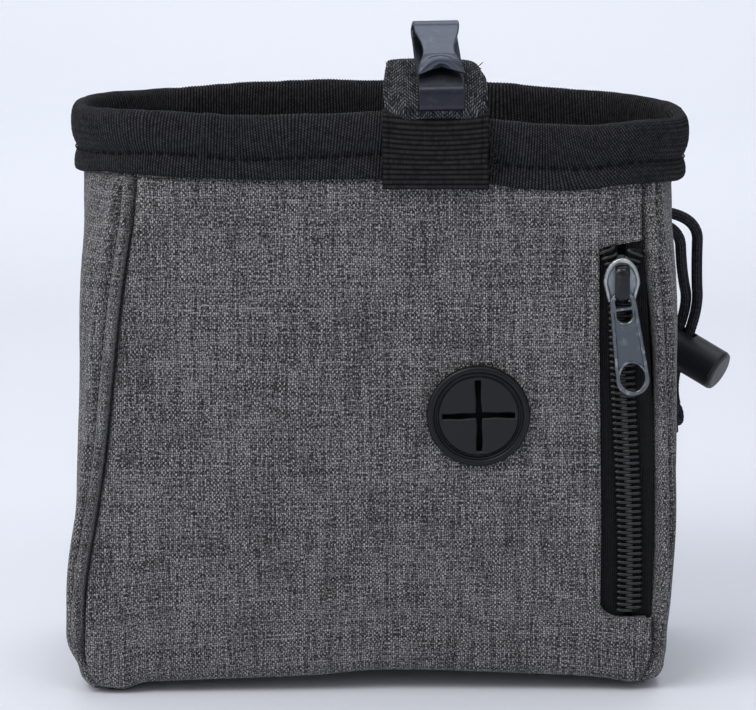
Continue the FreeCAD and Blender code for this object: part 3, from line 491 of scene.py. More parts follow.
def webbing(name, dark, light, along, across, ribs=True):
    """Woven tape or cord: its crowns are painted light as painted highlight and the gaps between them dark as painted
    shade, flecked with dusty lint. Ribs run along v, or without them across it.
    """
    m = Recipe(name, Roughness=0.75, Specular_IOR_Level=0.14)
    u, v = m.weave_at()
    a, b = m.math("DIVIDE", u, along), m.math("DIVIDE", v, across)
    column = m.math("FLOOR", a)
    half = m.math("MULTIPLY", m.math("FLOORED_MODULO", column, 2.0), 0.5)
    b2 = m.math("ADD", b, half) if ribs else b
    fa = m.math("MULTIPLY_ADD", m.math("FRACT", a), 2.0, -1.0)
    fb = m.math("MULTIPLY_ADD", m.math("FRACT", b2), 2.0, -1.0)
    ra = m.math("SUBTRACT", 1.0, m.math("MULTIPLY", fa, fa))
    rb = m.math("SUBTRACT", 1.0, m.math("MULTIPLY", fb, fb))
    if ribs:
        height = m.math("MULTIPLY", ra, m.math("MULTIPLY_ADD", rb, 0.6, 0.4))
    else:
        height = m.math("MULTIPLY", rb, m.math("MULTIPLY_ADD", ra, 0.3, 0.7))
    speck = m.speck(column, m.math("FLOOR", b2))
    lint = m.noise(m.vector(u, v), 0.5, 3.0, 0.65)
    lint = m.math("MULTIPLY_ADD", lint, 1.1, -0.35)
    dust = m.math("MULTIPLY_ADD", m.math("SUBTRACT", speck, 0.5), 0.5, lint)
    # painted highlight on the crowns and painted shade in the gaps, keyed to the weave's height, with lint and dust
    # flecks on top
    tone = m.math("MULTIPLY", m.math("POWER", height, 1.6), m.math("ADD", 0.55, dust))
    m.shade(Base_Color=m.ramp(tone, (0.03, dark), (0.85, light)))
    m.relief(height, 0.09, 0.8)
    return m.material


def twill_webbing(name, dark, light):
    """Webbing woven in herringbone columns: the raised floats are painted pale as painted highlight and the gaps dark
    as painted shade, flecked with lint.
    """
    m = Recipe(name, Roughness=0.75, Specular_IOR_Level=0.16)
    u, v = m.weave_at()
    zigzag = m.math("PINGPONG", m.math("ADD", u, 31.0), 3.1)
    jolt = m.math("MULTIPLY_ADD", m.noise(m.vector(u, v, 3.0), 0.9), 0.9, -0.45)
    line = m.math("DIVIDE", m.math("ADD", m.math("ADD", v, zigzag), jolt), 0.92)
    cross = m.math("DIVIDE", m.math("ADD", u, m.math("MULTIPLY", jolt, 0.6)), 0.55)
    fa = m.math("MULTIPLY_ADD", m.math("FRACT", line), 2.0, -1.0)
    fb = m.math("MULTIPLY_ADD", m.math("FRACT", cross), 2.0, -1.0)
    ra = m.math("SUBTRACT", 1.0, m.math("MULTIPLY", fa, fa))
    rb = m.math("SUBTRACT", 1.0, m.math("MULTIPLY", fb, fb))
    height = m.math("MULTIPLY", ra, m.math("MULTIPLY_ADD", rb, 0.85, 0.15))
    speck = m.speck(m.math("FLOOR", cross), m.math("FLOOR", line))
    lint = m.noise(m.vector(u, v), 0.3, 3.0, 0.65)
    lint = m.math("MULTIPLY_ADD", lint, 1.2, -0.4)
    dust = m.math("MULTIPLY_ADD", m.math("SUBTRACT", speck, 0.5), 0.9, lint)
    # painted highlight on the raised floats and painted shade between them, with lint and thread flecks
    tone = m.math("MULTIPLY", m.math("POWER", height, 1.5), m.math("ADD", 0.55, dust))
    m.shade(Base_Color=m.ramp(tone, (0.03, dark), (0.95, light)))
    m.relief(height, 0.13, 0.9)
    return m.material


def rubber_like(name, colour, rough, grain, depth, spec, cloud=0.35):
    """Moulded plastic or rubber with a fine etched grain and a little handling shine."""
    m = Recipe(name, Specular_IOR_Level=spec)
    place = m.place_at()
    wear = m.noise(place, 160.0, 3.0, 0.6)
    tone = m.math("MULTIPLY_ADD", wear, cloud, 1.0 - cloud / 2)
    m.shade(Base_Color=m.mix(1.0, colour, m.vector(tone, tone, tone), "MULTIPLY"),
            Roughness=m.math("MULTIPLY_ADD", wear, 0.22, rough - 0.11))
    m.relief(m.noise(place, grain, 2.0, 0.6), depth, 0.6)
    return m.material


def metal_like(name, colour, worn, rough, scratch=(900.0, 900.0, 90.0), metallic=0.9, wear_at=0.58):
    """Plated or painted metal with drawn hairlines, small scuffs and a paler worn tone."""
    m = Recipe(name, Metallic=metallic, Specular_IOR_Level=0.5)
    place = m.place_at()
    lines = m.noise(m.add("VectorMath", place, scratch, operation="MULTIPLY").outputs[0], 1.0, 3.0, 0.7)
    scuff = m.noise(place, 420.0, 4.0, 0.7)
    worn_here = m.ramp(scuff, (wear_at - 0.07, (0, 0, 0)), (wear_at + 0.07, (1, 1, 1)))
    m.shade(Base_Color=m.mix(worn_here, colour, worn),
            Roughness=m.math("ADD", m.math("MULTIPLY_ADD", lines, 0.16, rough - 0.08),
                             m.math("MULTIPLY", scuff, 0.08)))
    m.relief(lines, 0.004, 0.5)
    return m.material


RIB = 1.15                # from rib to rib of the tab's webbing
CLOTH = heather_cloth("heather_polyester")
# the light colour of each woven tape, cord and thread is the painted highlight on its crowns, the dark one the painted
# shade between them
TAPE = webbing("binding_tape", (0.0010, 0.0010, 0.0013), (0.044, 0.044, 0.049), along=0.7, across=0.62)
TAB = webbing("tab_webbing", (0.0010, 0.0010, 0.0012), (0.023, 0.022, 0.024), along=0.66, across=RIB, ribs=False)
# the sleeve's pale crown colour is a painted highlight on webbing that faces up to the lamps
SLEEVE = twill_webbing("sleeve_webbing", (0.0020, 0.0020, 0.0028), (0.150, 0.155, 0.172))
ZIP_TAPE = webbing("zip_tape", (0.0040, 0.0041, 0.0045), (0.020, 0.020, 0.022), along=0.45, across=0.45)
LINING = webbing("lining_taffeta", (0.006, 0.006, 0.007), (0.022, 0.022, 0.024), along=0.3, across=0.3)
COLLAR = webbing("collar_nylon", (0.007, 0.007, 0.008), (0.026, 0.026, 0.028), along=0.32, across=0.32)
CORD = webbing("cord_braid", (0.0015, 0.0016, 0.0022), (0.062, 0.065, 0.080), along=0.62, across=0.62)
THREAD = webbing("stitch_thread", (0.006, 0.006, 0.007), (0.03, 0.03, 0.032), along=0.2, across=0.2)
COIL = rubber_like("zip_coil_nylon", (0.0040, 0.0040, 0.0048), 0.33, 2500.0, 0.004, 0.55)
RUBBER = rubber_like("port_rubber", (0.0052, 0.0066, 0.0086), 0.46, 1500.0, 0.008, 0.32)
DARK_RUBBER = rubber_like("port_rim_rubber", (0.0026, 0.0028, 0.0038), 0.38, 1500.0, 0.008, 0.28)
PLASTIC = rubber_like("lock_nylon", (0.0085, 0.0094, 0.0122), 0.42, 1400.0, 0.006, 0.42)
DRAWN = (220.0, 2400.0, 60.0)
# the tongue gets a lighter copy of the clip's steel: a painted highlight for its face turned up to the lamps
LIT_TONGUE_STEEL = metal_like("tongue_steel_painted_highlight", (0.090, 0.098, 0.126), (0.115, 0.124, 0.152), 0.29, DRAWN, wear_at=0.62)
STEEL = metal_like("clip_steel", (0.040, 0.043, 0.055), (0.056, 0.060, 0.074), 0.27, DRAWN, wear_at=0.62)
ZINC = metal_like("slider_zinc", (0.30, 0.325, 0.355), (0.50, 0.52, 0.55), 0.42, wear_at=0.60)
PALE_EDGE = metal_like("slider_worn_edge", (0.42, 0.44, 0.46), (0.62, 0.64, 0.66), 0.35)
GUNMETAL = metal_like("puller_gunmetal", (0.105, 0.122, 0.140), (0.19, 0.205, 0.22), 0.40, wear_at=0.64)
BRIGHT_EDGE = metal_like("worn_edge", (0.125, 0.14, 0.155), (0.34, 0.36, 0.38), 0.3, wear_at=0.6)
CROWN = metal_like("crown_black", (0.008, 0.009, 0.012), (0.03, 0.03, 0.036), 0.16, metallic=0.3, wear_at=0.66)
THREAD_BLACK = webbing("black_thread", (0.0015, 0.0015, 0.002), (0.008, 0.008, 0.009), along=0.2, across=0.2)
BRASS_BLACK = metal_like("eyelet_black", (0.030, 0.031, 0.034), (0.14, 0.14, 0.15), 0.35)
SPRING = metal_like("spring_steel", (0.45, 0.45, 0.46), (0.6, 0.6, 0.6), 0.3)


def make_floor():
    """A pale floor that turns up into the backdrop."""
    m = Recipe("studio_paper", Roughness=0.9)
    cloud = m.noise(m.place_at(), 2.2, 2.0)
    m.shade(Base_Color=m.ramp(cloud, (0.2, (0.78, 0.80, 0.86)), (0.8, (0.80, 0.82, 0.88))))
    turn = [(-3.5, 0.0), (-0.4, 0.0), (0.3, 0.0), (0.9, 0.0)]
    turn += [(0.9 + 0.5 * math.sin(a), 0.5 - 0.5 * math.cos(a)) for a in np.linspace(0.1, math.pi / 2, 12)]
    turn += [(1.4, 2.4)]
    points = [(x * 1000, y * 1000, z * 1000) for y, z in turn for x in (-4.0, 4.0)]
    faces = [(2 * i, 2 * i + 1, 2 * i + 3, 2 * i + 2) for i in range(len(turn) - 1)]
    mesh_piece("studio_floor", points, faces, m.material, None)


make_floor()


# ---------------------------------------------------------------- the drawstring

CORD_D = 2.7
ROUTES = {
    "cord_strand_outer": [(65.4, 14.5, 111.45), (79.8, 14.9, 111.45), (80.0, 20.5, 95.0),
                          (81.63, 28.76, 82.47), (74.81, 32.61, 64.06), (76.48, 31.17, 57.8)],
    "cord_strand_inner": [(65.4, 14.5, 108.55), (75.2, 14.9, 108.55), (76.2, 19.5, 95.0),
                          (79.32, 30.06, 83.65), (72.05, 34.18, 65.48), (73.52, 32.83, 57.8)],
}


def settled(name, route):
    """The smooth line of a cord whose route is given, as points in millimetres."""
    curve = bpy.data.curves.new(name, "CURVE")
    curve.dimensions = "3D"
    curve.resolution_u = 40
    spline = curve.splines.new("NURBS")
    spline.points.add(len(route) - 1)
    for point, place in zip(spline.points, route):
        point.co = (*(np.array(place) * MM), 1.0)
    spline.order_u = 3
    spline.use_endpoint_u = True
    holder = bpy.data.objects.new(name, curve)
    bpy.context.scene.collection.objects.link(holder)
    bpy.context.view_layer.update()
    mesh = bpy.data.meshes.new_from_object(holder.evaluated_get(bpy.context.evaluated_depsgraph_get()))
    line = np.array([v.co for v in mesh.vertices]) / MM
    bpy.data.objects.remove(holder)
    bpy.data.meshes.remove(mesh)
    return line


def braid(angle, run, turns=4, pitch=3.6, deep=0.34):
    """The crossing strands of a round braid."""
    one = np.cos(turns * angle + 2 * math.pi * turns * run / (pitch * 2.2))
    two = np.cos(turns * angle - 2 * math.pi * turns * run / (pitch * 2.2))
    return deep * (np.maximum(np.abs(one), np.abs(two)) ** 1.5 - 0.72)


def make_cord_knot():
    """An overhand knot pulled tight in both strands, with its two short ends."""
    centre = np.array((75.0, 32.0, 54.5))
    t = np.linspace(0, 2 * math.pi, 220)
    loop = np.stack([np.sin(t) + 1.7 * np.sin(2 * t), 0.95 * (np.cos(t) - 1.7 * np.cos(2 * t)),
                     -1.95 * np.sin(3 * t)], 1)
    loop = loop * 0.98 + centre + (0.25, 0, 0.6)
    knot = tube("cord_knot_turns", loop, 1.18, 26, CORD, None, braid, caps=False)
    ends = []
    for number, (side, lean) in enumerate(((-1, 0.5), (1, -0.4))):
        path = spaced(np.array([centre + (0.8 * side, 0, -1.5), centre + (1.2 * side + lean * 0.4, 0.3, -2.8),
                                centre + (1.5 * side + lean, 0.5, -4.2)]), 0.2)
        flare = np.linspace(1.2, 1.32, len(path))
        ends.append(tube(f"cord_knot_end_{number}", path, flare, 26, CORD, None, braid))
    knot = join_pieces("drawstring_knot", [knot] + ends)
    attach(knot, "bag")
    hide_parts("cord_knot")
    return knot


def make_cords():
    """The two free strands of the drawstring, from the eyelet through the lock to the knot."""
    knot = make_cord_knot()
    for name, route in ROUTES.items():
        line = spaced(settled(name, route), 0.25)
        strand = tube(f"drawstring_{name[12:]}", line, CORD_D / 2 - 0.03, 32, CORD, "bag", braid)
        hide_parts(name)


make_cords()


# ---------------------------------------------------------------- the bag's form

# by height: the seams' x beside the front, the bag's sides, its depth and its corners' radius
seam_left = through((0, -66.4), (5, -70.4), (18, -71.4), (27, -70.6), (47, -67.2), (60, -65.2), (78, -63.2),
                    (98, -60.8), (115, -58.4), (128, -57.5), (142, -57.2))
seam_right = through((0, 64.0), (6, 66.2), (17, 66.8), (48, 67.0), (85, 65.5), (97, 64.6), (112, 63.3), (128, 63.0),
                     (142, 62.6))
side_left = through((0, -68.4), (1, -70.4), (3, -72.6), (6, -73.9), (12, -75.0), (18, -75.2), (28, -75.1), (34, -74.6),
                    (40, -73.8), (46, -73.0), (53, -72.5), (60, -72.1), (76, -71.4), (88, -71.2), (101, -70.9),
                    (113, -70.6), (120, -70.8), (127, -71.4), (131, -72.3), (142, -72.5))
side_right = through((0, 66.4), (1, 68.0), (3, 69.0), (6, 69.5), (14, 70.0), (27, 70.7), (43, 71.6), (68, 71.5),
                     (93, 71.6), (110, 71.0), (118, 70.7), (125, 70.9), (131, 72.8), (142, 73.2))
front_depth = through((0, 26.0), (0.9, 27.5), (2.3, 28.6), (4.2, 29.2), (8, 29.4), (40, 29.4), (90, 29.1),
                      (120, 28.9), (142, 28.9))
corner_round = through((0, 9.0), (8, 7.0), (60, 6.4), (96, 7.5), (110, 12.0), (122, 19.5), (127, 22.0), (142, 23.0))
# by x: how high the base stands, and how high the mouth's edge is in front and behind
foot_lift = through((-72, 0.0), (-66, 0.0), (-62, 0.5), (-57.5, 2.0), (-50, 2.6), (-41, 3.0), (-16.6, 4.1),
                    (6.6, 5.2), (20, 4.9), (32, 4.4), (50.5, 3.8), (60, 2.5), (64, 1.6), (67, 1.2), (72, 1.2))
mouth_height_front = through((-74, 141.0), (-60, 142.6), (-45, 142.5), (-26, 141.8), (-8, 142.4), (2, 142.6),
                             (27, 140.9), (39, 139.8), (48, 139.7), (58, 140.2), (66, 140.1), (71, 139.3),
                             (75, 138.9))
mouth_height_back = through((-74, 141.0), (-57, 140.4), (-45, 140.8), (-34, 141.6), (-8, 142.2), (28, 141.4),
                            (47, 140.2), (58, 139.2), (66, 138.9), (75, 138.9))


def mouth_height(x, y):
    """How high the bound edge stands all round the mouth."""
    share = ease(y, -20, 20)
    return mouth_height_front(x) * (1 - share) + mouth_height_back(x) * share


def arch(x, y, z):
    """The base lifts off the floor between the corners."""
    return foot_lift(x) * (1 - ease(z, 4, 46)) * (0.62 + 0.38 * ease(-y, -5, 26))


def outline_at(z, inset=0.0):
    """The bag's outline at height z: four runs of points, front, right, back and left, split at the seams."""
    left, right = float(side_left(z)) + inset, float(side_right(z)) - inset
    deep = float(front_depth(z)) - inset
    r = max(1.5, float(corner_round(z)) - inset * 0.6)
    # the mouth's left end draws to a longer curve than its right one
    rl, ry = r + 7.0 * float(ease(z, 112, 134)), r + 4.0 * float(ease(z, 112, 134))
    bow = 0.5 * math.sin(math.pi * min(1, max(0, z / 142))) ** 0.7
    angles = np.radians(np.linspace(0, 90, 16))
    right_front = [(right - r + r * math.sin(a), -deep + r - r * math.cos(a)) for a in angles]
    sag = 1.5 * math.sin(math.pi * min(1, max(0, (z - 4) / 132)))
    side_y = np.linspace(-deep + r, deep - r, 24)[1:-1]
    right_side = [(right - sag * (1 - (y / deep) ** 2), y) for y in side_y]
    left_side = [(left + sag * (1 - (y / deep) ** 2), y) for y in np.linspace(-deep + ry, deep - ry, 24)[1:-1]]
    face_x = np.linspace(left + rl, right - r, 60)[1:-1]
    full = 1 - (2 * (face_x - left - rl) / (right - left - rl - r) - 1) ** 2
    front = list(zip(face_x, -deep - bow * full))
    back = list(zip(face_x, deep + 1.2 * bow * full))
    right_back = [(x, -y) for x, y in right_front[::-1]]
    left_back = [(left + rl - rl * math.sin(a), deep - ry + ry * math.cos(a)) for a in angles]
    left_front = [(x, -y) for x, y in left_back[::-1]]
    ring = np.array(front + right_front + right_side + right_back + back[::-1] + left_back
                    + left_side[::-1] + left_front)
    ring = np.vstack([ring, ring[:1]])
    return ring, lengths(ring)


NEAR = np.array([0, 0.22, 0.45, 0.75, 1.1, 1.5, 1.9, 2.3, 2.7, 3.0, 3.3, 3.7, 4.2, 4.8, 5.5, 6.3, 7.2])
NEAR_FRONT = np.array([0, 0.25, 0.6, 1.0, 1.5, 2.2, 3.0])


def parted(start, end, near, count):
    """Places between two seams, close together beside each and even between."""
    long = end - start
    scale = min(1.0, long * 0.42 / near[-1])
    inner = np.linspace(start + near[-1] * scale, end - near[-1] * scale, count)
    return np.concatenate([start + near[:-1] * scale, inner, (end - near[:-1] * scale)[::-1]])


FRONT_COUNT, SIDE_COUNT, BACK_COUNT = 150, 46, 100


def bag_row(z, inset=0.0):
    """One row of the bag: points all round, and how far each is from the seams beside it."""
    ring, run = outline_at(z, inset)
    total = run[-1]
    left_x, right_x = float(seam_left(z)) + inset * 0.3, float(seam_right(z)) - inset * 0.3
    # along the front x only grows, from the left corner to the right one, and along the back it only falls;
    # outline_at gives 58 points to the front and the back, 16 to each corner and 22 to each side
    front_x = np.concatenate([ring[208:224, 0], ring[:74, 0]])
    front_run = np.concatenate([run[208:224] - total, run[:74]])
    s_left, s_right = np.interp([left_x, right_x], front_x, front_run)
    b_left, b_right = np.interp([left_x, right_x], ring[185:95:-1, 0], run[185:95:-1])
    runs = [parted(s_left, s_right, NEAR_FRONT, FRONT_COUNT), parted(s_right, b_right, NEAR, SIDE_COUNT),
            parted(b_right, b_left, NEAR_FRONT, BACK_COUNT), parted(b_left, s_left + total, NEAR, SIDE_COUNT)]
    places = np.concatenate([r[:-1] for r in runs])
    beside = np.concatenate([np.minimum(r - r[0], r[-1] - r)[:-1] * (1 if i % 2 else -1)
                             for i, r in enumerate(runs)])
    x = np.interp(places % total, run, ring[:, 0])
    y = np.interp(places % total, run, ring[:, 1])
    return x, y, places, beside, [len(r) - 1 for r in runs]


LEVELS = np.concatenate([[0, 0.4, 0.9, 1.5, 2.3, 3.2, 4.2, 5.3, 6.5], np.arange(8, 136.1, 1.0)])


def bag_grid(inset=0.0, levels=LEVELS):
    """The bag's points at every level, with bag_row's places, distances to the seams and panel counts."""
    rows = [bag_row(z, inset) for z in levels]
    x = np.array([r[0] for r in rows])
    y = np.array([r[1] for r in rows])
    z = np.repeat(np.array(levels)[:, None], x.shape[1], 1)
    # the left foot stands a little nearer than the right
    y = y + 0.035 * np.minimum(x, 0) * (1 - ease(z, 8, 80))
    points = np.stack([x, y, z + arch(x, y, z)], 2)
    return points, np.array([r[2] for r in rows]), np.array([r[3] for r in rows]), rows[0][4]


WINDOW_LEFT = 52.4        # the window's left edge, level with the slider
WINDOW_FOOT_X = 58.6      # the middle of the window's round foot
WINDOW_FOOT_R = 5.4
FOLD_TOP = 110.3          # the window's top edge, at its left end
TIGHT_FROM = 125.2        # above this height the cloth lies under the binding
PORT = (24.0, -29.0, 69.7)
PORT_SEAT_Y = -28.8       # the cloth lies flat at this depth around the port
PORT_HOLE_R = 10.6


def window_left(z):
    """The x of the zip window's left edge at a height."""
    return WINDOW_LEFT + 1.3 * ease(-z, -108, -30)


def window_low(x):
    """The round foot of the zip's window."""
    t = np.clip((WINDOW_FOOT_X - np.asarray(x, float)) / WINDOW_FOOT_R, -1, 1)
    return 25.0 - 5.3 * np.sqrt(np.clip(1 - np.where(t > 0, t, t * 0.25) ** 2, 0, 1)) - 0.3


def window_high(x):
    """The height of the window's top edge."""
    return FOLD_TOP + (np.asarray(x, float) - WINDOW_LEFT) * 0.18


def touched_by(faces):
    """Which points of the bag's grid are corners of the marked faces."""
    touched = np.zeros((faces.shape[0] + 1, faces.shape[1]), bool)
    for down in (0, 1):
        for along in (0, 1):
            touched[down:faces.shape[0] + down] |= np.roll(faces, along, 1)
    return touched


def make_shell():
    """The outer cloth: the wrap that runs down the front, under and up the back, and two gussets."""
    base, _, beside, counts = bag_grid()
    rows, columns = base.shape[:2]
    normal = grid_normals(base, True)
    z = np.repeat(LEVELS[:, None], columns, 1)
    x, y = base[..., 0], base[..., 1]
    gusset = beside > 0
    d = np.abs(beside)
    push = np.zeros_like(z)
    low_fade = ease(z, 3, 16)
    # the seams: a tight groove, a full roll on the gusset, its stitched line and a softer second roll
    wander = 1 + 0.12 * rolling(z, beside * 0, 9, 2)
    push -= 3.2 * np.exp(-(d / 0.46) ** 2) * (0.3 + 0.7 * low_fade)
    roll = 1.75 * bump_at(d, 1.5, 3.2) ** 0.75 * wander
    groove = -0.75 * bump_at(d, 3.3, 1.1) * (0.7 + 0.3 * np.cos(2 * math.pi * z / 2.6))
    second = 1.0 * bump_at(d, 5.2, 3.6) * (0.75 + 0.4 * rolling(z, z * 0, 22, 4))
    push += np.where(gusset, (roll + groove + second) * (0.25 + 0.75 * low_fade), 0)
    puckers = 0.10 * bump_at(d, 1.2, 4) * np.sin(z * 1.25 + 2 * rolling(z, x, 14))
    push += np.where(~gusset, 0.22 * bump_at(d, 1.9, 3.2) * low_fade + puckers, 0)
    # slow waves of the cloth, drawn tight under the binding
    tight = 1 - 0.75 * ease(z, 112, 126)
    push += 0.55 * rolling(x + y * 0.8, z * 0.7, 34, 1) * tight
    push += 0.22 * rolling(x + y, z * 0.45, 12, 5) * tight
    push += np.where(gusset, 0.35 * rolling(y, z * 0.35, 9, 6) * tight * ease(d, 3, 8), 0)
    # folds at the foot corners, and the soft crease below the binding on each gusset
    foot = np.exp(-((z - 9) / 9.0) ** 2) * ease(np.abs(x), 50, 68)
    push += 0.5 * foot * np.sin((x * np.sign(x) - 58) * 0.62 + z * 0.22)
    push -= 0.35 * np.exp(-((z - 6.5) / 2.4) ** 2) * ease(np.abs(x), 34, 60) * (y < 0)
    crease = (np.abs(x) - 60.5) * 1.0 - (127.0 - z) * 0.33
    push += np.where(gusset & (y < 0), 0.9 * np.exp(-(crease / 0.9) ** 2) * ease(z, 100, 114), 0)
    # the stack of cloth at the port and beside the window
    ring_gap = np.hypot(x - PORT[0], z - PORT[2])
    round_port = -0.5 * np.exp(-((ring_gap - 12.3) / 0.9) ** 2) + 0.20 * np.exp(-((ring_gap - 15) / 2.6) ** 2)
    push += np.where((y < 0) & ~gusset, round_port, 0)
    edge = window_left(z) - x
    beside_window = (y < 0) & (edge > -1) & (z > 18) & (z < 114)
    push += np.where(beside_window, 0.42 * bump_at(edge, 0.9, 3.2) - 0.22 * bump_at(edge, 3.2, 1.2), 0)
    # under the binding the cloth lies flat and drawn in
    under = ease(z, TIGHT_FROM, TIGHT_FROM + 2.3)
    push = push * (1 - under) - 0.9 * under
    shell = base + normal * push[..., None]
    shell[..., 2] = np.maximum(shell[..., 2], 0.02)
    seat = (1 - ease(ring_gap, 12.4, 26)) * ((y < 0) & ~gusset)
    shell[..., 1] = shell[..., 1] * (1 - seat) + PORT_SEAT_Y * seat

    # the window's outline is cut through the front, and its edge points are drawn onto it
    front_columns = np.arange(columns) < counts[0]
    right_seam = counts[0]
    px, pz = shell[..., 0].copy(), shell[..., 2].copy()
    inside = ((px > window_left(pz)) & (pz > window_low(px)) & (pz < window_high(px))
              & (y < 0) & front_columns[None, :])
    inside[:, right_seam] = inside[:, right_seam - 1]
    open_face = inside[:-1] & inside[1:]
    open_face = open_face & np.roll(open_face, -1, 1)
    open_face[:, right_seam:] = False
    rim = touched_by(open_face) & touched_by(~open_face & front_columns[None, :])
    rim[:, right_seam + 1:] = False
    to_left, to_high = np.abs(px - window_left(pz)), np.abs(pz - window_high(px))
    to_low = np.abs(pz - window_low(px))
    nearest = np.argmin(np.stack([to_left, to_high, to_low]), 0)
    nearest[:, right_seam] = np.where(to_high[:, right_seam] < to_low[:, right_seam], 1, 2)
    shell[..., 0] = np.where(rim & (nearest == 0), window_left(pz), px)
    shell[..., 2] = np.where(rim & (nearest == 1), window_high(shell[..., 0]), pz)
    shell[..., 2] = np.where(rim & (nearest == 2), window_low(shell[..., 0]), shell[..., 2])

    # where each point lies in the flat cloth, told from the middle of its own panel
    step = np.linalg.norm(np.diff(shell, axis=1, append=shell[:, :1]), axis=2)
    around = np.concatenate([np.zeros((rows, 1)), np.cumsum(step, 1)], 1)
    v = np.repeat(LEVELS[:, None], columns + 1, 1)
    u = closed_columns(x)
    first_row = 3
    column_of = np.repeat(np.arange(columns)[None, :], rows - 1, 0)
    row_of = np.repeat(np.arange(rows - 1)[:, None], columns, 1)
    bounds = np.cumsum([0] + counts)
    from_middle = lambda k: around - around[:, [(bounds[k] + bounds[k + 1]) // 2]]
    right_panel = (column_of >= bounds[1]) & (column_of < bounds[2]) & (row_of >= first_row)
    left_panel = (column_of >= bounds[3]) & (row_of >= first_row)
    hole = (np.hypot(shell[..., 0] - PORT[0], shell[..., 2] - PORT[2]) < PORT_HOLE_R) & (y < 0)
    wrap = ~right_panel & ~left_panel & ~open_face & ~hole[:-1]

    wrap_piece = grid_piece("body_wrap_cloth", shell, CLOTH, "bag", True, u, v, wrap)
    wrap_piece = join_pieces("body_wrap_cloth", [wrap_piece, under_panel(shell[0]), folded_edge(shell, counts)])
    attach(wrap_piece, "bag")
    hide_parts("body_wrap")
    for node, mask, side in (("gusset_right", right_panel, 1), ("gusset_left", left_panel, 3)):
        name = f"{node}_cloth"
        panel = grid_piece(name, shell, CLOTH, "bag", True, from_middle(side) + 0.37, v + 0.21, mask)
        edges = []
        for column in (bounds[side], bounds[side + 1] % columns):
            edge_line = shell[first_row:, column]
            inward = 1 if edge_line[0, 1] < 0 else -1
            turned = np.stack([edge_line, edge_line + (0, 0.7 * inward, 0), edge_line + (0, 2.2 * inward, 0)], 1)
            uu = np.stack([np.full(len(edge_line), k * 1.1) for k in range(3)], 1)
            vv = np.repeat(LEVELS[first_row:, None], 3, 1)
            edges.append(grid_piece(f"{name}_turned_{column}", turned, CLOTH, "bag", False, uu, vv))
        panel = join_pieces(name, [panel] + edges)
        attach(panel, "bag")
        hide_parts(node)
    return shell, counts


def under_panel(edge):
    """The part of the wrap that lies under the bag, lifted in the middle."""
    grid = []
    for share in np.linspace(1, 0.02, 26):
        ring = edge * share
        ring[:, 2] = 0.02 + arch(ring[:, 0], ring[:, 1], 0.0) * (0.72 + 0.28 * share)
        grid.append(ring)
    grid = np.array(grid)
    x, y = closed_columns(grid[..., 0]), closed_columns(grid[..., 1])
    return grid_piece("under_cloth", grid, CLOTH, "bag", True, x, y + 29.0, flip=True)


def folded_edge(shell, counts):
    """The window's edge turned in behind itself."""
    left = [(window_left(z), z) for z in np.arange(110.0, 25.0, -0.8)]
    angles = np.linspace(0.05, math.pi * 0.95, 34)
    foot_x = [WINDOW_FOOT_X - WINDOW_FOOT_R * math.cos(a) if a < math.pi / 2
              else WINDOW_FOOT_X + (a - math.pi / 2) * 4.4 for a in angles]
    foot = [(x, float(window_low(x))) for x in foot_x]
    top = [(x, float(window_high(x))) for x in np.linspace(64.0, WINDOW_LEFT + 0.2, 26)]
    outline = top + left + foot
    rows = []
    for x, z in outline:
        y = surface_y(shell, counts, x, z)
        rows.append([(x, y, z), (x, y + 0.55, z), (x, y + 1.6, z)])
    grid = np.array(rows)
    run = lengths(grid[:, 0])
    u = np.repeat(np.array([[0, 0.6, 1.6]]), len(run), 0) + 0.2
    return grid_piece("window_fold", grid, CLOTH, "bag", False, u, np.repeat(run[:, None], 3, 1))


def surface_y(shell, counts, x, z):
    """How far forward the front cloth stands at a place."""
    row = int(np.clip(np.searchsorted(LEVELS, z) - 1, 0, len(LEVELS) - 2))
    line = shell[row, :counts[0]]
    return float(np.interp(x, line[:, 0], line[:, 1]))


shell, shell_counts = make_shell()


# ---------------------------------------------------------------- the bound mouth

def mouth_ring(step):
    """The line of the mouth at the cloth's outer face, with its outward direction, as a closed run."""
    ring, run = outline_at(141.0)[:2]
    count = int(run[-1] / step) // 12 * 12
    at = np.linspace(0, run[-1], count, endpoint=False)
    x, y = np.interp(at, run, ring[:, 0]), np.interp(at, run, ring[:, 1])
    smooth = 9
    kernel = np.hanning(2 * smooth + 1)
    kernel /= kernel.sum()
    wide = lambda a: np.convolve(np.concatenate([a[-smooth:], a, a[:smooth]]), kernel, "valid")
    x, y = wide(x), wide(y)
    dx, dy = np.roll(x, -1) - np.roll(x, 1), np.roll(y, -1) - np.roll(y, 1)
    size = np.hypot(dx, dy)
    return x, y, dy / size, -dx / size, at, run[-1]


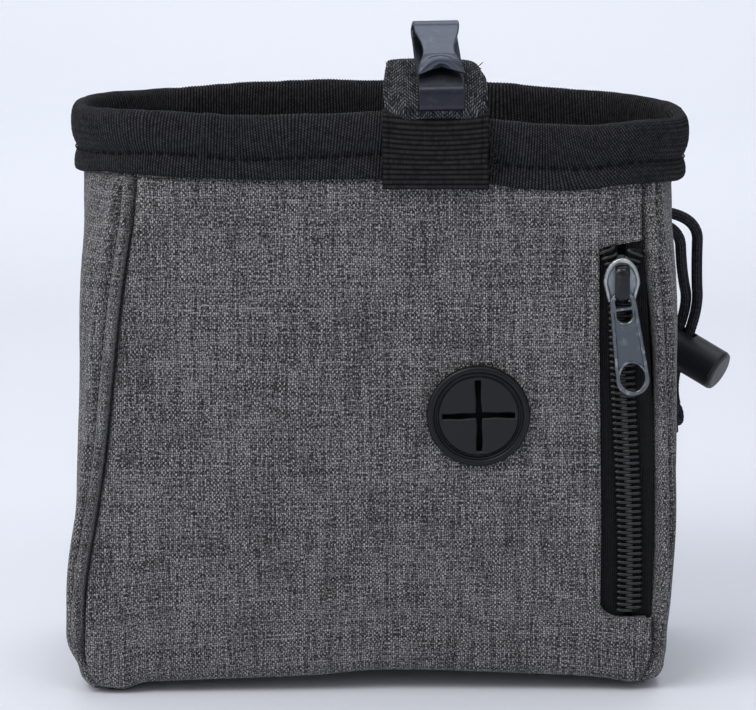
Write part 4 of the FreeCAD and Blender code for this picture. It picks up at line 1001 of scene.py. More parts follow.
def make_binding():
    """Ribbed tape folded over the raw edge: a full roll above the stitching and a flat skirt below."""
    pitch = 0.7
    x, y, nx, ny, at, total = mouth_ring(pitch / 7)
    ribs = round(total / pitch)
    high = mouth_height(x, y)
    low = high - 15.3 + 0.5 * rolling(at, at * 0, 16, 3) + 0.4 * ease(x, 40, 60) * (y < 0)
    high = high + 0.30 * rolling(at, at * 0, 9, 12) + 0.16 * rolling(at, at * 0, 3.1, 14)
    low = low + 0.22 * rolling(at, at * 0, 5, 8)
    crease = high - 10.2 + 0.55 * rolling(at, at * 0, 23, 5)
    # each place of the section is (outward, share from the skirt's foot to the crease, and on to the top)
    section = [(-0.6, -0.02, 0), (0.45, -0.01, 0), (0.95, 0.04, 0), (1.15, 0.16, 0), (1.15, 0.4, 0),
               (0.98, 0.62, 0), (0.60, 0.84, 0), (0.34, 1.0, 0), (0.45, 1, 0.04), (0.95, 1, 0.12),
               (1.45, 1, 0.24), (1.75, 1, 0.38), (1.85, 1, 0.54), (1.80, 1, 0.70), (1.62, 1, 0.82),
               (1.30, 1, 0.91), (0.85, 1, 0.965), (0.3, 1, 0.99), (-0.4, 1, 1.0), (-1.0, 1, 0.985),
               (-1.6, 1, 0.945), (-2.1, 1, 0.87), (-2.4, 1, 0.76), (-2.6, 1, 0.62), (-2.6, 1, 0.46),
               (-2.5, 1, 0.3), (-2.4, 1, 0.1), (-2.3, 0.9, 0), (-2.5, 0.6, 0), (-2.6, 0.2, 0),
               (-2.3, -0.1, 0), (-1.8, -0.2, 0)]
    outward = np.array([s[0] for s in section])[:, None]
    level = np.array([low + (crease - low) * s[1] + (high - crease) * s[2] for s in section])
    # a softer, fuller or flatter roll from place to place
    fuller = 1 + 0.16 * rolling(at, at * 0, 19, 7)[None, :]
    outward = np.where(outward > 0, outward * fuller, outward)
    # about 15 mm of tape lie between the skirt's foot and the top, a third of them below the crease
    rise = [15 * (s[1] * 0.34 + s[2] * 0.66) for s in section]
    run = np.concatenate([[0.0], np.cumsum(np.hypot(np.diff([s[0] for s in section]), np.diff(rise)))])
    twist = 0.12 * rolling(at, at * 0, 11, 9) + 0.75 * ease(x, 34, 58) * (y < 8) + 0.08 * ease(-x, 50, 66)
    lean = twist[None, :] * (run[:, None] - 8)
    rib = np.abs(np.cos(math.pi * ribs * (at[None, :] + lean) / total)) ** 0.7
    outward = outward + np.where(run[:, None] < run[18], 1, -1) * 0.30 * (rib - 0.7)
    level = level + np.where((run[:, None] > run[15]) & (run[:, None] < run[22]), 0.24 * (rib - 0.7), 0)
    grid = np.stack([x[None, :] + nx[None, :] * outward, y[None, :] + ny[None, :] * outward, level], 2)
    u = np.concatenate([at[None, :] + lean, total + lean[:, :1]], 1) * pitch * ribs / total + pitch / 2
    v = np.repeat(run[:, None], len(at) + 1, 1)
    binding = grid_piece("mouth_binding_tape", grid, TAPE, "bag", True, u, v)
    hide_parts("mouth_binding")

    # stitches in the crease
    path = np.stack([x + nx * 0.75, y + ny * 0.75, crease - 0.1], 1)
    stitches("binding_stitches", path, 2.7, 1.9, 0.19, THREAD_BLACK)

    band = np.stack([x - nx * 0.9, y - ny * 0.9, high - 6.5], 1)[::6]
    shape = np.array([(0.4, -5), (0.4, 5), (0.2, 5.4), (-0.2, 5.4), (-0.4, 5), (-0.4, -5), (-0.2, -5.4), (0.2, -5.4)])
    rows = [np.stack([band[:, 0] + nx[::6] * a, band[:, 1] + ny[::6] * a, band[:, 2] + b * 0.75], 1) for a, b in shape]
    grid = np.array(rows + [rows[0]])
    unwoven = np.zeros((len(grid), len(band) + 1))
    stiff = grid_piece("mouth_spring_band", grid, SPRING, "bag", True, unwoven, unwoven)
    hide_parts("mouth_stiffener")
    return x, y, nx, ny, at, total


def stitches(name, path, step, long, radius, material):
    """A row of sewn stitches: short threads that dip into the cloth at both ends."""
    line = spaced(path, 0.1)
    run = lengths(line)
    points, faces, corner = [], [], []
    sides = rings = 7
    for start in np.arange(0.4, run[-1] - long, step):
        shares = np.linspace(0, 1, rings)
        places = np.stack([np.interp(start + shares * long, run, line[:, k]) for k in range(3)], 1)
        ahead = places[-1] - places[0]
        ahead /= np.linalg.norm(ahead)
        level = abs(ahead[2]) < 0.7
        outward = np.cross(ahead, (0, 0, 1)) if level else np.array((0, -1.0 if places[0, 1] < 0 else 1.0, 0))
        if level and outward @ places[0] < 0:
            outward = -outward
        outward /= np.linalg.norm(outward)
        other = np.cross(ahead, outward)
        for share, place in zip(shares, places):
            lift = math.sin(math.pi * share) ** 0.5 * radius * 1.1 - radius * 0.8
            fat = radius * (0.55 + 0.45 * math.sin(math.pi * share))
            for k in range(sides):
                a = 2 * math.pi * k / sides
                points.append(place + outward * (lift + fat * math.cos(a)) + other * fat * math.sin(a))
        first = len(points) - rings * sides
        for ring in range(rings - 1):
            for k in range(sides):
                a, b = first + ring * sides + k, first + ring * sides + (k + 1) % sides
                faces.append((a, b, b + sides, a + sides))
                u, v = k * 0.2, ring * 0.3
                corner += [(u, v), (u + 0.2, v), (u + 0.2, v + 0.3), (u, v + 0.3)]
    row = mesh_piece(name, points, faces, material, "bag", corner)
    return row


mouth = make_binding()


def make_side_stitches():
    """The topstitching beside each seam's roll, front and back."""
    columns = shell.shape[1]
    bounds = np.cumsum([0] + shell_counts)
    offset = int(np.searchsorted(NEAR, 3.25))
    for name, column in (("stitches_front_right", bounds[1] + offset), ("stitches_back_right", bounds[2] - offset),
                         ("stitches_back_left", bounds[3] + offset), ("stitches_front_left", bounds[4] - offset)):
        stitches(name, shell[14:-16, column % columns], 2.6, 1.8, 0.17, THREAD)


make_side_stitches()


# ---------------------------------------------------------------- the lining and the drawstring collar

def make_lining():
    """The inner bag, slack against the outer one, and its floor."""
    levels = np.concatenate([[1.2, 1.8, 3, 5], np.arange(8, 134.1, 3.0)])
    inset = 4.3 - 2.6 * ease(levels, 116, 124)
    rows = []
    for z, gap in zip(levels, inset):
        x, y = bag_row(z, gap)[:2]
        rows.append(np.stack([x, y, np.full_like(x, z)], 1)[::2])
    grid = np.array(rows)
    grid[..., 2] += arch(grid[..., 0], grid[..., 1], grid[..., 2]) * 0.9
    normal = grid_normals(grid, True)
    a = np.cumsum(np.linalg.norm(np.diff(grid, axis=1, append=grid[:, :1]), axis=2), 1)
    push = 0.8 * rolling(a, grid[..., 2], 22, 3) + 0.35 * rolling(a, grid[..., 2], 8, 8)
    grid = grid - normal * (np.clip(push, -0.6, 1.2) * (1 - ease(grid[..., 2], 112, 122)))[..., None]
    u = np.concatenate([a, a[:, -1:] + 0.5], 1)
    v = np.repeat(levels[:, None], u.shape[1], 1)
    wall = grid_piece("lining_wall", grid, LINING, "bag", True, u, v, flip=True)
    shares = np.linspace(1, 0.02, 22)
    floor = []
    for s in shares:
        ring = grid[0] * (s, s, 0)
        fx, fy = ring[:, 0], ring[:, 1]
        ring[:, 2] = 1.3 + arch(fx, fy, 0.0) * 0.86 + 0.35 * rolling(fx, fy, 14, 2) * (1 - s)
        floor.append(ring)
    floor = np.array(floor)
    base = grid_piece("lining_base", floor, LINING, "bag", True, closed_columns(floor[..., 0]),
                      closed_columns(floor[..., 1]))
    lining = join_pieces("lining_bag", [wall, base])
    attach(lining, "bag")
    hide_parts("lining")


def make_collar():
    """The drawstring collar: gathered cloth from the binding down to its cord channel."""
    x, y, nx, ny, at, total = mouth
    step = 3
    x, y, nx, ny, at = (a[::step] for a in (x, y, nx, ny, at))
    # down the collar and round its hem: the height, how far in from the bag's face, and how much it is gathered
    levels = np.array([127.5, 126, 124, 121, 118, 115, 113.2, 112.4, 111.6, 110, 108.4, 107.7, 107.5, 107.8, 108.6,
                       110, 111.4, 112.2])
    inset = np.array([2.2, 2.6, 3.6, 5.0, 6.2, 6.2, 6.0, 5.9, 5.6, 5.3, 5.5, 6.0, 7.0, 8.2, 9.0, 9.3, 9.0, 8.0])
    gather = np.array([0, 0.1, 0.3, 0.7, 1.0, 1.0, 0.8, 0.5, 0.35, 0.3, 0.35, 0.4, 0.45, 0.5, 0.5, 0.5, 0.5, 0.6])
    folds = (np.sin(2 * math.pi * at / 6.4 + 2.2 * rolling(at, at * 0, 18, 2))
             + 0.5 * np.sin(2 * math.pi * at / 3.9 + 3 * rolling(at, at * 0, 25, 4)))
    rows = []
    for z, gap, g in zip(levels, inset, gather):
        out = -(gap - 0.75 * g * folds)
        rows.append(np.stack([x + nx * out, y + ny * out, np.full_like(x, z) + 0.3 * g * folds], 1))
    grid = np.array(rows)
    u = np.repeat(np.concatenate([at, [total]])[None, :], len(levels), 0)
    run = np.concatenate([[0.0], np.cumsum(np.hypot(np.diff(levels), np.diff(inset)))])
    v = np.repeat(run[:, None], len(at) + 1, 1)
    collar = grid_piece("drawstring_collar_cloth", grid, COLLAR, "bag", True, u, v)
    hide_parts("drawstring_collar")
    line = np.stack([x - nx * 7.4, y - ny * 7.4, np.full_like(x, 110.0)], 1)
    keep = ~((x > 60) & (y > 6) & (y < 22))
    start = int(np.argmax(~keep))
    order = np.roll(np.arange(len(x)), -start)
    order = order[keep[order]]
    run_piece = tube("drawstring_hem_cord", spaced(line[order], 0.5), CORD_D / 2 - 0.1, 20, CORD, "bag", braid)
    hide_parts("drawstring_hem_run")


make_lining()
make_collar()


# ---------------------------------------------------------------- the pocket wall and the zip

ZIP_X = 57.6


def zip_line(z):
    """The zip runs a little off upright, as the slack cloth lets it."""
    return ZIP_X + 3.1 * (1 - ease(z, 30, 100))


def doubled(name, face, thick, material):
    """An upright cloth with a front face and a back one, thick apart."""
    back = face + (0, thick, 0)
    both = np.concatenate([face, back[:, ::-1]], 1)
    return grid_piece(name, both, material, "bag", True, closed_columns(both[..., 0]), closed_columns(both[..., 2]),
                      caps=True)


def make_zip_cloth():
    """Woven tapes either side of the coils, sewn behind the window, and the pocket's rear wall."""
    for name, node, x0, x1 in (("zip_tape_left_cloth", "zip_tape_left", 47.0, 56.6),
                               ("zip_tape_right_cloth", "zip_tape_right", 58.6, None)):
        zs = np.arange(15.0, 111.9, 0.8)
        rows = []
        for z in zs:
            drift = float(zip_line(z)) - ZIP_X
            low, high = (x0, x1 + drift) if x1 else (x0 + drift, float(seam_right(z)) - 0.7)
            rows.append([(x, -27.85 + 0.06 * math.sin(z * 0.5 + x) - 0.035 * math.cos(2 * math.pi * x / 0.9), z)
                         for x in np.linspace(low, high, 60)])
        grid = np.array(rows)
        tape = doubled(name, grid, 0.5, ZIP_TAPE)
        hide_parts(node)
    xs, zs = np.linspace(-58, 60, 70), np.linspace(12, 114, 60)
    grid = np.array([[(x, -25.6 + 0.3 * float(rolling(x, z, 20, 2)), z) for x in xs] for z in zs])
    wall = doubled("pocket_wall_cloth", grid, 0.4, LINING)
    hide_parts("pocket_wall")


def make_coils():
    """Two nylon spirals whose turns mesh in the middle, and part above the slider."""
    pitch = 1.5
    for side, node in ((-1, "zip_coil_left"), (1, "zip_coil_right")):
        spread = lambda z: 2.6 * ease(z, 103.5, 113) + 0.5 * ease(z, 101, 105)
        turns = np.arange(0, 60.01, 1 / 30)
        z = 20.9 + pitch * turns + (0.75 if side > 0 else 0)
        z = z[z < 110.3]
        angle = 2 * math.pi * turns[:len(z)]
        middle = zip_line(z) + side * (1.12 + spread(z))
        x = middle + side * 1.72 * np.sign(np.cos(angle)) * np.abs(np.cos(angle)) ** 0.8
        y = -28.9 - 0.66 * np.sin(angle) - 0.12 * np.cos(angle) * np.sin(angle)
        slope = 0.26 * pitch * np.cos(angle)
        path = np.stack([x, y, z + slope - 0.35 * spread(z) * np.cos(angle)], 1)
        head = 0.10 * np.exp(-((np.cos(angle) + 1) / 0.25) ** 2)
        coil = tube(f"{node}_spiral", path, 0.45 + head, 10, COIL, "bag")
        zs = np.arange(20.6, 110.2, 0.5)
        angle = np.linspace(0, 2 * math.pi, 18, endpoint=False)[None, :]
        mid = (zip_line(zs) + side * (1.12 + spread(zs)))[:, None]
        core = np.stack([mid + 1.55 * np.cos(angle), -28.72 + 0.34 * np.sin(angle) + 0 * mid,
                         zs[:, None] + 0 * angle], 2)
        u, v = np.repeat(np.linspace(0, 6, 19)[None, :], len(zs), 0), np.repeat(zs[:, None], 19, 1)
        parts = [coil, grid_piece(f"{node}_core", core, ZIP_TAPE, "bag", True, u, v, caps=True)]
        for k, foot in enumerate(np.arange(21.4, 109.6, pitch)):
            x = float(zip_line(foot) + side * (2.35 + spread(foot)))
            path = np.array([(x - 0.2, -28.5, foot), (x - 0.05, -29.72, foot + 0.15),
                             (x + 0.12, -29.74, foot + 0.55), (x + 0.2, -28.5, foot + 0.8)])
            parts.append(tube(f"{node}_sewing_{k}", spaced(path, 0.3), 0.15, 6, ZIP_TAPE, "bag"))
        whole = join_pieces(f"{node}_turns", parts)
        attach(whole, "bag")
        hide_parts(node)


def make_slider():
    """A cast slider: a shield with a worn raised edge, the wedge under it, and a glossy arched crown."""
    def shield(u, v):
        side = ((np.abs(u) - 4.3) * 4.4 - (v - 4.6) * 1.15) / 4.55
        dome = (np.hypot(u / 4.3, (v - 4.6) / 6.2) - 1) * 4.3
        return np.where(v > 4.6, dome, np.maximum(side, 0.2 - v))

    def face(u, v, d):
        edge = 0.34 * (1 - np.sqrt(np.clip(1 - (1 + d / 0.34) ** 2, 0, 1))) * (d > -0.34)
        return 0.52 + 0.26 * ease(d, -1.05, -0.7) + 0.05 * rolling(u, v, 1.3, 3) - edge

    slider_foot = 97.5
    low, high = (-4.6, -0.2), (4.6, 11.2)
    at = lambda u, v, h: np.stack([ZIP_X + u, -30.55 - h, slider_foot + v], 2)
    parts = [plate("slider_shield", shield, face, low, high, 0.17, at, ZINC, "zip_slider", -0.35,
                   (PALE_EDGE, lambda u, v: shield(u, v) > -0.7)),
             plate("slider_wedge", lambda u, v: shield(u, v) + 0.9, lambda u, v, d: 0 * u, low, high, 0.3, at, ZINC,
                   "zip_slider", -3.4),
             plate("slider_back", shield, lambda u, v, d: 0 * u - 3.2, low, high, 0.3, at, ZINC, "zip_slider", -4.1)]
    bend = rounded([(-30.8, 106.6), (-33.3, 105.9), (-33.35, 99.4), (-30.8, 98.1)], [1.9, 1.5], 0.2)
    path = np.column_stack([np.full(len(bend), ZIP_X), bend])
    parts.append(sweep("slider_crown", path, 1.75, 0.8, CROWN, "zip_slider"))
    slider = join_pieces("zip_slider_cast", parts)
    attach(slider, "zip_slider")
    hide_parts("slider_body")


def make_puller():
    """The pull: a plate with a raised rim, a window for the crown, a stepped field and an oval finger hole."""
    lean = math.radians(8)
    across, up = np.array((math.cos(lean), 0, math.sin(lean))), np.array((-math.sin(lean), 0, math.cos(lean)))
    pivot = np.array((ZIP_X, -32.4, 99.5))

    def outline(u, v):
        w = -v - 2.15
        span, r0, r1 = 18.3, 3.15, 3.95
        b = (r0 - r1) / span
        a = math.sqrt(1 - b * b)
        k = -b * np.abs(u) + a * w
        return np.where(k < 0, np.hypot(u, w) - r0,
                        np.where(k > a * span, np.hypot(u, w - span) - r1, np.abs(u) * a + w * b - r0))

    def window(u, v):
        w = -v
        return np.hypot(u, w - np.clip(w, 1.4, 4.7)) - 1.85

    def finger(u, v):
        return (np.hypot(u / 2.95, (-v - 19.95) / 3.45) - 1) * 3.1

    def bar(u, v):
        return np.maximum(np.abs(-v - 3.15) - 0.42, np.abs(u) - 2.2)

    def distance(u, v):
        opening = np.maximum(window(u, v), -bar(u, v))
        return np.maximum(outline(u, v), -np.minimum(opening, finger(u, v)))

    def face(u, v, d):
        rim = np.maximum(ease(outline(u, v), -0.95, -0.7), 1 - ease(window(u, v), 0.35, 0.6))
        rim = np.maximum(rim, 1 - ease(finger(u, v), 0.35, 0.6))
        field = ease(-v, 7.1 + 0.09 * u * u, 7.5 + 0.09 * u * u)
        edge = 0.2 * (1 - np.sqrt(np.clip(1 - (1 + d / 0.2) ** 2, 0, 1))) * (d > -0.2)
        return 0.30 + 0.26 * rim - 0.13 * field * (1 - rim) + 0.02 * rolling(u, v, 0.9, 2) - edge

    at = lambda u, v, h: pivot + u[..., None] * across + v[..., None] * up - h[..., None] * np.array((0, 1.0, 0))
    worn = lambda u, v: ((outline(u, v) > -0.8) | (window(u, v) < 0.5) | (finger(u, v) < 0.45))
    pull = plate("zip_pull", distance, face, (-4.2, -24.6), (4.2, 1.2), 0.15, at, GUNMETAL, "zip_puller", -0.5,
                 (BRIGHT_EDGE, worn))
    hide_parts("slider_puller")


make_zip_cloth()
make_coils()


# ---------------------------------------------------------------- the webbing tab and the clip's sleeve

def strap(centre, x0, x1, thick, relief, rounding=0.45):
    """Points and cloth places of a flat woven strap along a path in Y and Z; relief(across, along) lifts its faces."""
    centre = np.array(centre, float)
    ahead = np.gradient(centre, axis=0)
    ahead /= np.linalg.norm(ahead, axis=1, keepdims=True)
    out = np.stack([-ahead[:, 1], ahead[:, 0]], 1)
    run = lengths(centre)
    count = int((x1 - x0) / 0.24)
    face = np.linspace(x0 + rounding, x1 - rounding, count)
    turn = np.radians(np.linspace(0, 180, 7))[1:-1]
    right = [(x1 - rounding + rounding * math.sin(a), math.cos(a)) for a in turn]
    left = [(x0 + rounding - rounding * math.sin(a), -math.cos(a)) for a in turn]
    section = np.array([(x, 1.0) for x in face] + right + [(x, -1.0) for x in face[::-1]] + left)
    xx = np.repeat(section[None, :, 0], len(centre), 0)
    side = np.repeat(section[None, :, 1], len(centre), 0)
    along = np.repeat(run[:, None], len(section), 1)
    lift = side * thick / 2 + relief(xx, along) * np.sign(side) * (np.abs(side) > 0.98)
    grid = np.stack([xx, centre[:, :1] + out[:, :1] * lift, centre[:, 1:] + out[:, 1:] * lift], 2)
    return grid, closed_columns(xx), np.repeat(run[:, None], len(section) + 1, 1), run


def rounded(points, radii, step):
    """A path in Y and Z with arcs at its inner points, its points a step apart."""
    pts = np.array(points, float)
    out = [pts[0]]
    for before, at, after, r in zip(pts[:-2], pts[1:-1], pts[2:], radii):
        a, b = before - at, after - at
        la, lb = np.linalg.norm(a), np.linalg.norm(b)
        a, b = a / la, b / lb
        angle = math.acos(np.clip(a @ b, -1, 1))
        back = min(r / math.tan(angle / 2), la * 0.49, lb * 0.49)
        r = back * math.tan(angle / 2)
        middle = at + (a + b) / np.linalg.norm(a + b) * r / math.sin(angle / 2)
        start, end = at + a * back - middle, at + b * back - middle
        sweep = math.atan2(start[0] * end[1] - start[1] * end[0], start @ end)
        for s in np.linspace(0, 1, 14):
            c, d = math.cos(sweep * s), math.sin(sweep * s)
            out.append(middle + np.array((start[0] * c - start[1] * d, start[0] * d + start[1] * c)))
    out.append(pts[-1])
    path = np.array([(0.0, *p) for p in out])
    return spaced(path, step)[:, 1:]


def leaning(u, v):
    """A point of the clip's own frame, u up its length and v out of its face."""
    half = math.sqrt(0.5)
    return (-27.8 + (u - v) * half, 138.9 + (u + v) * half)


def make_tab():
    """The webbing folded over the mouth, ribbed across, its ribs sagging a little in the middle."""
    arc = [(-27.8 - 3.5 * math.cos(a), 138.9 + 3.5 * math.sin(a)) for a in np.radians(np.linspace(0, 180, 30))]
    path = [(-31.25, 124.9), (-31.35, 130.0)] + arc + [(-24.3, 130.0), (-24.4, 126.8)]
    path = spaced(np.array([(0.0, *p) for p in path]), 0.22)[:, 1:]

    def relief(x, s):
        lift = 0.38 * np.abs(np.sin(math.pi * s / RIB)) ** 0.8 - 0.22
        lift = lift + 0.10 * rolling(x, s, 6, 3)
        for selvedge in (2.6, 24.4):
            lift = lift - 0.35 * bump_at(x, selvedge, 0.7) * ease(s, 0.5, 3)
        return lift

    grid, u, v, _ = strap(path, 1.0, 26.0, 1.45, relief)
    slack = 0.5 * rolling(grid[..., 2], grid[..., 0] * 0.2, 7, 4)
    grid[..., 0] += np.where(grid[..., 0] < 2.0, 0.35 * slack, np.where(grid[..., 0] > 25, 0.4 * slack, 0))
    along = v[:, :-1]
    grid[..., 2] += 0.8 * ((grid[..., 0] - 13.5) / 12.5) ** 2 * ease(along, 1, 11) * (1 - ease(along, 16, 22))
    tab = grid_piece("webbing_tab", grid, TAB, "bag", True, u, v, caps=True)
    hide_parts("webbing_anchor")


def make_sleeve():
    """The webbing sleeve that leans back behind the clip, its twill painted paler than the tab as painted highlight
    where it faces up to the lamps, with a frayed upper corner.
    """
    points = [leaning(0.2, 3.9), leaning(1.2, 5.55), leaning(16.2, 5.3), leaning(16.2, 1.1), leaning(4.6, 1.1)]
    path = rounded(points, [1.0, 2.05, 2.05], 0.2)

    def relief(x, s):
        band = 3.1 - np.abs((x + 31.0) % 6.2 - 3.1)
        twill = np.abs(np.sin(math.pi * (s + 3.1 - band) / 0.92))
        across = np.abs(np.sin(math.pi * x / 0.62))
        return 0.20 * (twill ** 0.8 * (0.6 + 0.4 * across)) - 0.10 + 0.35 * rolling(x, s, 5, 5)

    grid, u, v, run = strap(path, 1.3, 25.7, 1.35, relief)
    s = np.repeat(run[:, None], grid.shape[1], 1)
    # the top pulls in and rounds off at both corners, and the sides wander
    top = np.exp(-((s - 16.5) / 4.2) ** 2)
    foot = 1 - ease(s, 1.0, 7.0)
    share = (grid[..., 0] - 13.5) / 12.2
    soft = np.where(share > 0, 1.0, 0.35)
    grid[..., 0] -= np.sign(share) * 1.5 * soft * top * np.abs(share) ** 5
    grid[..., 2] -= 2.1 * soft * np.abs(share) ** 4 * top
    grid[..., 1] -= 1.0 * soft * np.abs(share) ** 4 * top
    grid[..., 0] += 0.3 * rolling(s, share, 4, 6) * np.abs(share) ** 6
    grid[..., 0] -= np.sign(share) * np.abs(share) ** 3 * 0.6 * foot
    grid[..., 2] -= 1.9 * share ** 2 * foot
    grid[..., 1] += 1.3 * share ** 4 * foot
    sleeve = grid_piece("webbing_sleeve", grid, SLEEVE, "clip", True, u, v, caps=True)
    fibres = []
    for k in range(15):
        x = 1.9 + abs(rng.normal(0, 1.6)) if k < 11 else 24.9 - abs(rng.normal(0, 1.0))
        start = np.array((x, *leaning(16.4 + rng.uniform(-1.2, 0.6), rng.uniform(3.0, 5.9))))
        start[2] -= 1.7
        way = np.array((-0.5 if x < 10 else 0.5, -0.25, 0.55)) + rng.normal(0, 0.45, 3)
        way /= np.linalg.norm(way)
        long = rng.uniform(0.7, 1.6)
        curl = rng.normal(0, 0.35, 3)
        fibre = np.array([start + way * long * t + curl * (t * long) ** 2 * 0.25 for t in np.linspace(0, 1, 7)])
        fibres.append(tube(f"sleeve_fibre_{k}", fibre, np.linspace(0.13, 0.08, 7), 5, SLEEVE, "clip"))
    sleeve = join_pieces("webbing_sleeve", [sleeve] + fibres)
    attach(sleeve, "clip")
    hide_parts("webbing_loop")


def make_fray():
    """Loose thread ends of the bar tack beside the tab."""
    ends = []
    for k in range(34):
        start = np.array((rng.uniform(25.9, 28.6), -31.5 + rng.uniform(-0.3, 0.3), rng.uniform(128.0, 139.0)))
        way = rng.normal(0, 1, 3) * (0.7, 0.35, 1.0)
        way /= np.linalg.norm(way)
        long = rng.uniform(0.8, 2.6)
        curl = rng.normal(0, 0.5, 3) * (1, 0.4, 1)
        path = np.array([start + way * long * t + curl * (t * long) ** 2 * 0.3 - (0, 0.5 * math.sin(math.pi * t), 0)
                         for t in np.linspace(0, 1, 9)])
        ends.append(tube(f"tack_end_{k}", path, np.linspace(0.13, 0.08, 9), 5, TAPE, "bag"))
    fray = join_pieces("bar_tack_threads", ends)
    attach(fray, "bag")


make_tab()
make_fray()
make_sleeve()
make_slider()
make_puller()


# ---------------------------------------------------------------- the belt clip

CLIP_X, CLIP_Y = 14.9, -33.0
CLIP_ASKEW = math.radians(8.5)
STEEL_HALF = 0.5          # half the strip's thickness
STEEL_EDGE = 0.3          # how far its rounded edges reach


def clip_turn(points):
    """Turns points about the upright line through the clip, as the clip sits askew."""
    c, s = math.cos(CLIP_ASKEW), math.sin(CLIP_ASKEW)
    x, y = points[..., 0] - CLIP_X, points[..., 1] - CLIP_Y
    out = points.copy()
    out[..., 0] = CLIP_X + x * c - y * s
    out[..., 1] = CLIP_Y + x * s + y * c
    return out


def steel_strip(name, path, half_width, lift, body, node, draw=None, material=STEEL):
    """Bent spring steel with rounded edges along a path in Y and Z.

    Along the run, half_width sets its width, lift dishes it and draw moves its end back along itself.
    """
    centre = np.array(path, float)
    ahead = np.gradient(centre, axis=0)
    ahead /= np.linalg.norm(ahead, axis=1, keepdims=True)
    out = np.stack([-ahead[:, 1], ahead[:, 0]], 1)
    run = lengths(centre)
    across = np.linspace(-1, 1, 33)
    turn = np.radians(np.linspace(0, 180, 11))[1:-1]
    rows = []
    for p, o, s in zip(centre, out, run):
        w = half_width(s, run[-1])
        flat = w - STEEL_EDGE
        row = [(t * flat, STEEL_HALF) for t in across]
        row += [(flat + STEEL_EDGE * math.sin(a), STEEL_HALF * math.cos(a)) for a in turn]
        row += [(t * flat, -STEEL_HALF) for t in across[::-1]]
        row += [(-flat - STEEL_EDGE * math.sin(a), -STEEL_HALF * math.cos(a)) for a in turn]
        row = np.array(row)
        rise = row[:, 1] - lift(s, run[-1], row[:, 0] / w)
        pull = draw(s, run[-1], row[:, 0] / w) if draw else 0 * rise
        rows.append(np.stack([CLIP_X + row[:, 0], p[0] + o[0] * rise + o[1] * pull,
                              p[1] + o[1] * rise - o[0] * pull], 1))
    grid = clip_turn(np.array(rows))
    columns = grid.shape[1]
    u = np.repeat(np.arange(columns + 1)[None, :] * 0.3, len(grid), 0)
    v = np.repeat(run[:, None], columns + 1, 1)
    piece = grid_piece(name, grid, material, body, True, u, v, caps=True)
    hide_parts(node)


def make_clip():
    """The leg, the upright plate and the leaning strip in one piece, and the tongue folded over it."""
    path = rounded([leaning(14.0, 3.2), leaning(4.4, 3.2), (-33.0, 143.85), (-33.0, 148.41), leaning(18.55, 10.4)],
                   [1.2, 1.0, 2.4], 0.25)
    steel_strip("belt_clip_frame", path, lambda s, end: 5.5 + 0.05 * math.sin(s * 0.3), lambda s, end, t: 0 * t,
                "clip", "belt_clip_strip")
    path = rounded([leaning(18.6, 10.4), leaning(20.7, 10.4), leaning(20.7, 14.9), leaning(11.5, 12.9),
                    leaning(6.3, 12.25)], [2.0, 2.0, 6.0], 0.2)

    def half_width(s, end):
        neck = 5.5 - 1.75 * float(np.exp(-((s - end + 6.6) / 3.7) ** 2))
        return neck + 0.15 * float(ease(s, end - 3, end))

    def lift(s, end, t):
        return 1.3 * (1 - np.abs(t) ** 2.0) * float(ease(s, end - 6.0, end)) ** 1.4

    def draw(s, end, t):
        return -3.0 * (1 - np.abs(t) ** 2.0) * float(ease(s, end - 6.0, end))

    # the tongue takes the lighter copy of the steel, a painted highlight where it faces up
    steel_strip("belt_clip_spring_tongue", path, half_width, lift, "clip_tongue", "belt_clip_tongue", draw,
                LIT_TONGUE_STEEL)


make_clip()


# ---------------------------------------------------------------- the outlet

def make_port():
    """The moulded ring: a full outer bead, a thin raised line, and the groove inside it."""
    section = [(10.62, -2.6), (12.2, -2.6), (12.2, -1.7), (10.9, -1.5), (10.7, -1.0), (10.75, -0.35),
               (11.7, -0.2), (12.2, 0.15), (12.38, 0.6), (12.36, 1.05), (12.15, 1.45), (11.75, 1.72), (11.3, 1.8),
               (10.92, 1.66), (10.72, 1.42), (10.66, 1.22), (10.62, 1.3), (10.52, 1.46), (10.38, 1.5),
               (10.24, 1.44), (10.16, 1.24), (10.1, 0.95)]
    rim = spin("outlet_port_ring", section, PORT, (0, -1, 0), DARK_RUBBER, "bag", 160)
    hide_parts("outlet_port")


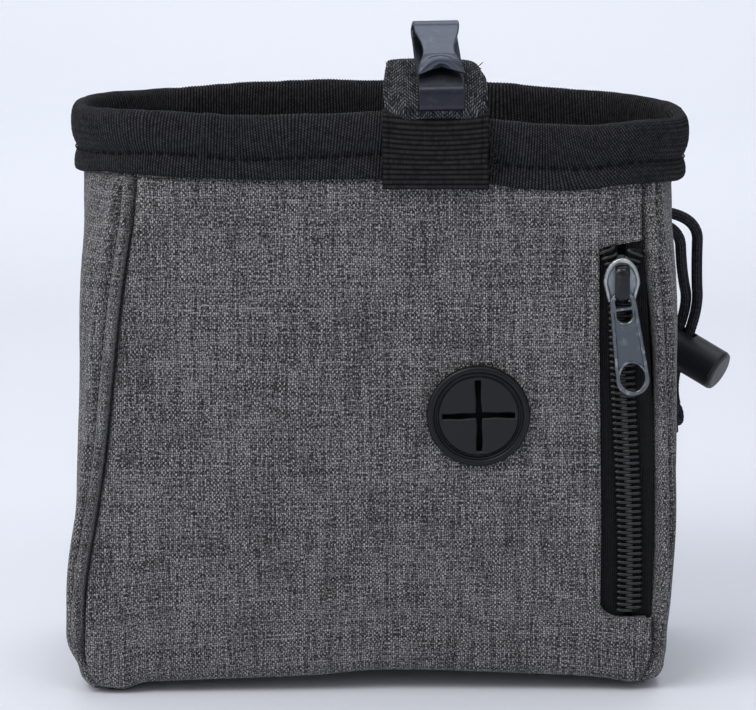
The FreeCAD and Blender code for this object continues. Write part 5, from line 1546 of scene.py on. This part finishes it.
def make_petals():
    """The four flaps of the cross slit, each bending from the ring. The cut wanders a little."""
    level_cut = lambda x: 0.22 * np.sin(0.24 * x + 0.5)
    upright_cut = lambda z: 0.25 * np.sin(0.2 * z + 2.6)

    def cross_gap(x, z):
        level = np.abs(z - level_cut(x)) - 0.68 - 0.07 * np.sin(1.1 * x)
        upright = np.abs(x - upright_cut(z)) - 0.70 - 0.08 * np.sin(0.9 * z + 1)
        return np.minimum(np.maximum(level, np.abs(x) - 8.7), np.maximum(upright, np.abs(z) - 8.7))

    for number, (sx, sz) in enumerate(((1, 1), (1, -1), (-1, -1), (-1, 1)), start=1):
        def distance(x, z):
            quarter = np.maximum(-sx * (x - upright_cut(z)), -sz * (z - level_cut(x)))
            return np.maximum(np.maximum(np.hypot(x, z) - 10.05, quarter), -cross_gap(x, z))

        def face(x, z, d):
            r = np.hypot(x, z)
            lip = 0.28 * ease(-cross_gap(x, z), -0.4, 0.0) * (r < 9.4)
            return 1.12 - 0.42 * ease(r, 9.4, 9.7) - lip + 0.03 * rolling(x, z, 4.5, number)

        at = lambda x, z, h: np.stack([PORT[0] + x, PORT[1] - h, PORT[2] + z], 2)
        low = (min(0, sx * 10.2) - 0.4, min(0, sz * 10.2) - 0.4)
        high = (max(0, sx * 10.2) + 0.4, max(0, sz * 10.2) + 0.4)
        petal = plate(f"outlet_flap_{number}", distance, face, low, high, 0.19, at, RUBBER, None)
        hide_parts(f"outlet_petal_{number}")
        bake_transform(petal)


make_port()
make_petals()


# ---------------------------------------------------------------- the CAD pieces that stay as they are

def dress(node, material):
    """Gives a kept piece its material, and smooth faces between its sharp edges."""
    thing = frame["nodes"][node]
    thing.data.set_sharp_from_angle(angle=math.radians(30))
    thing.data.polygons.foreach_set("use_smooth", np.ones(len(thing.data.polygons), bool))
    thing.material_slots[0].link = "OBJECT"
    thing.material_slots[0].material = material


dress("cord_eyelet", BRASS_BLACK)
dress("lock_barrel", PLASTIC)
dress("lock_plunger", PLASTIC)
dress("lock_spring", SPRING)
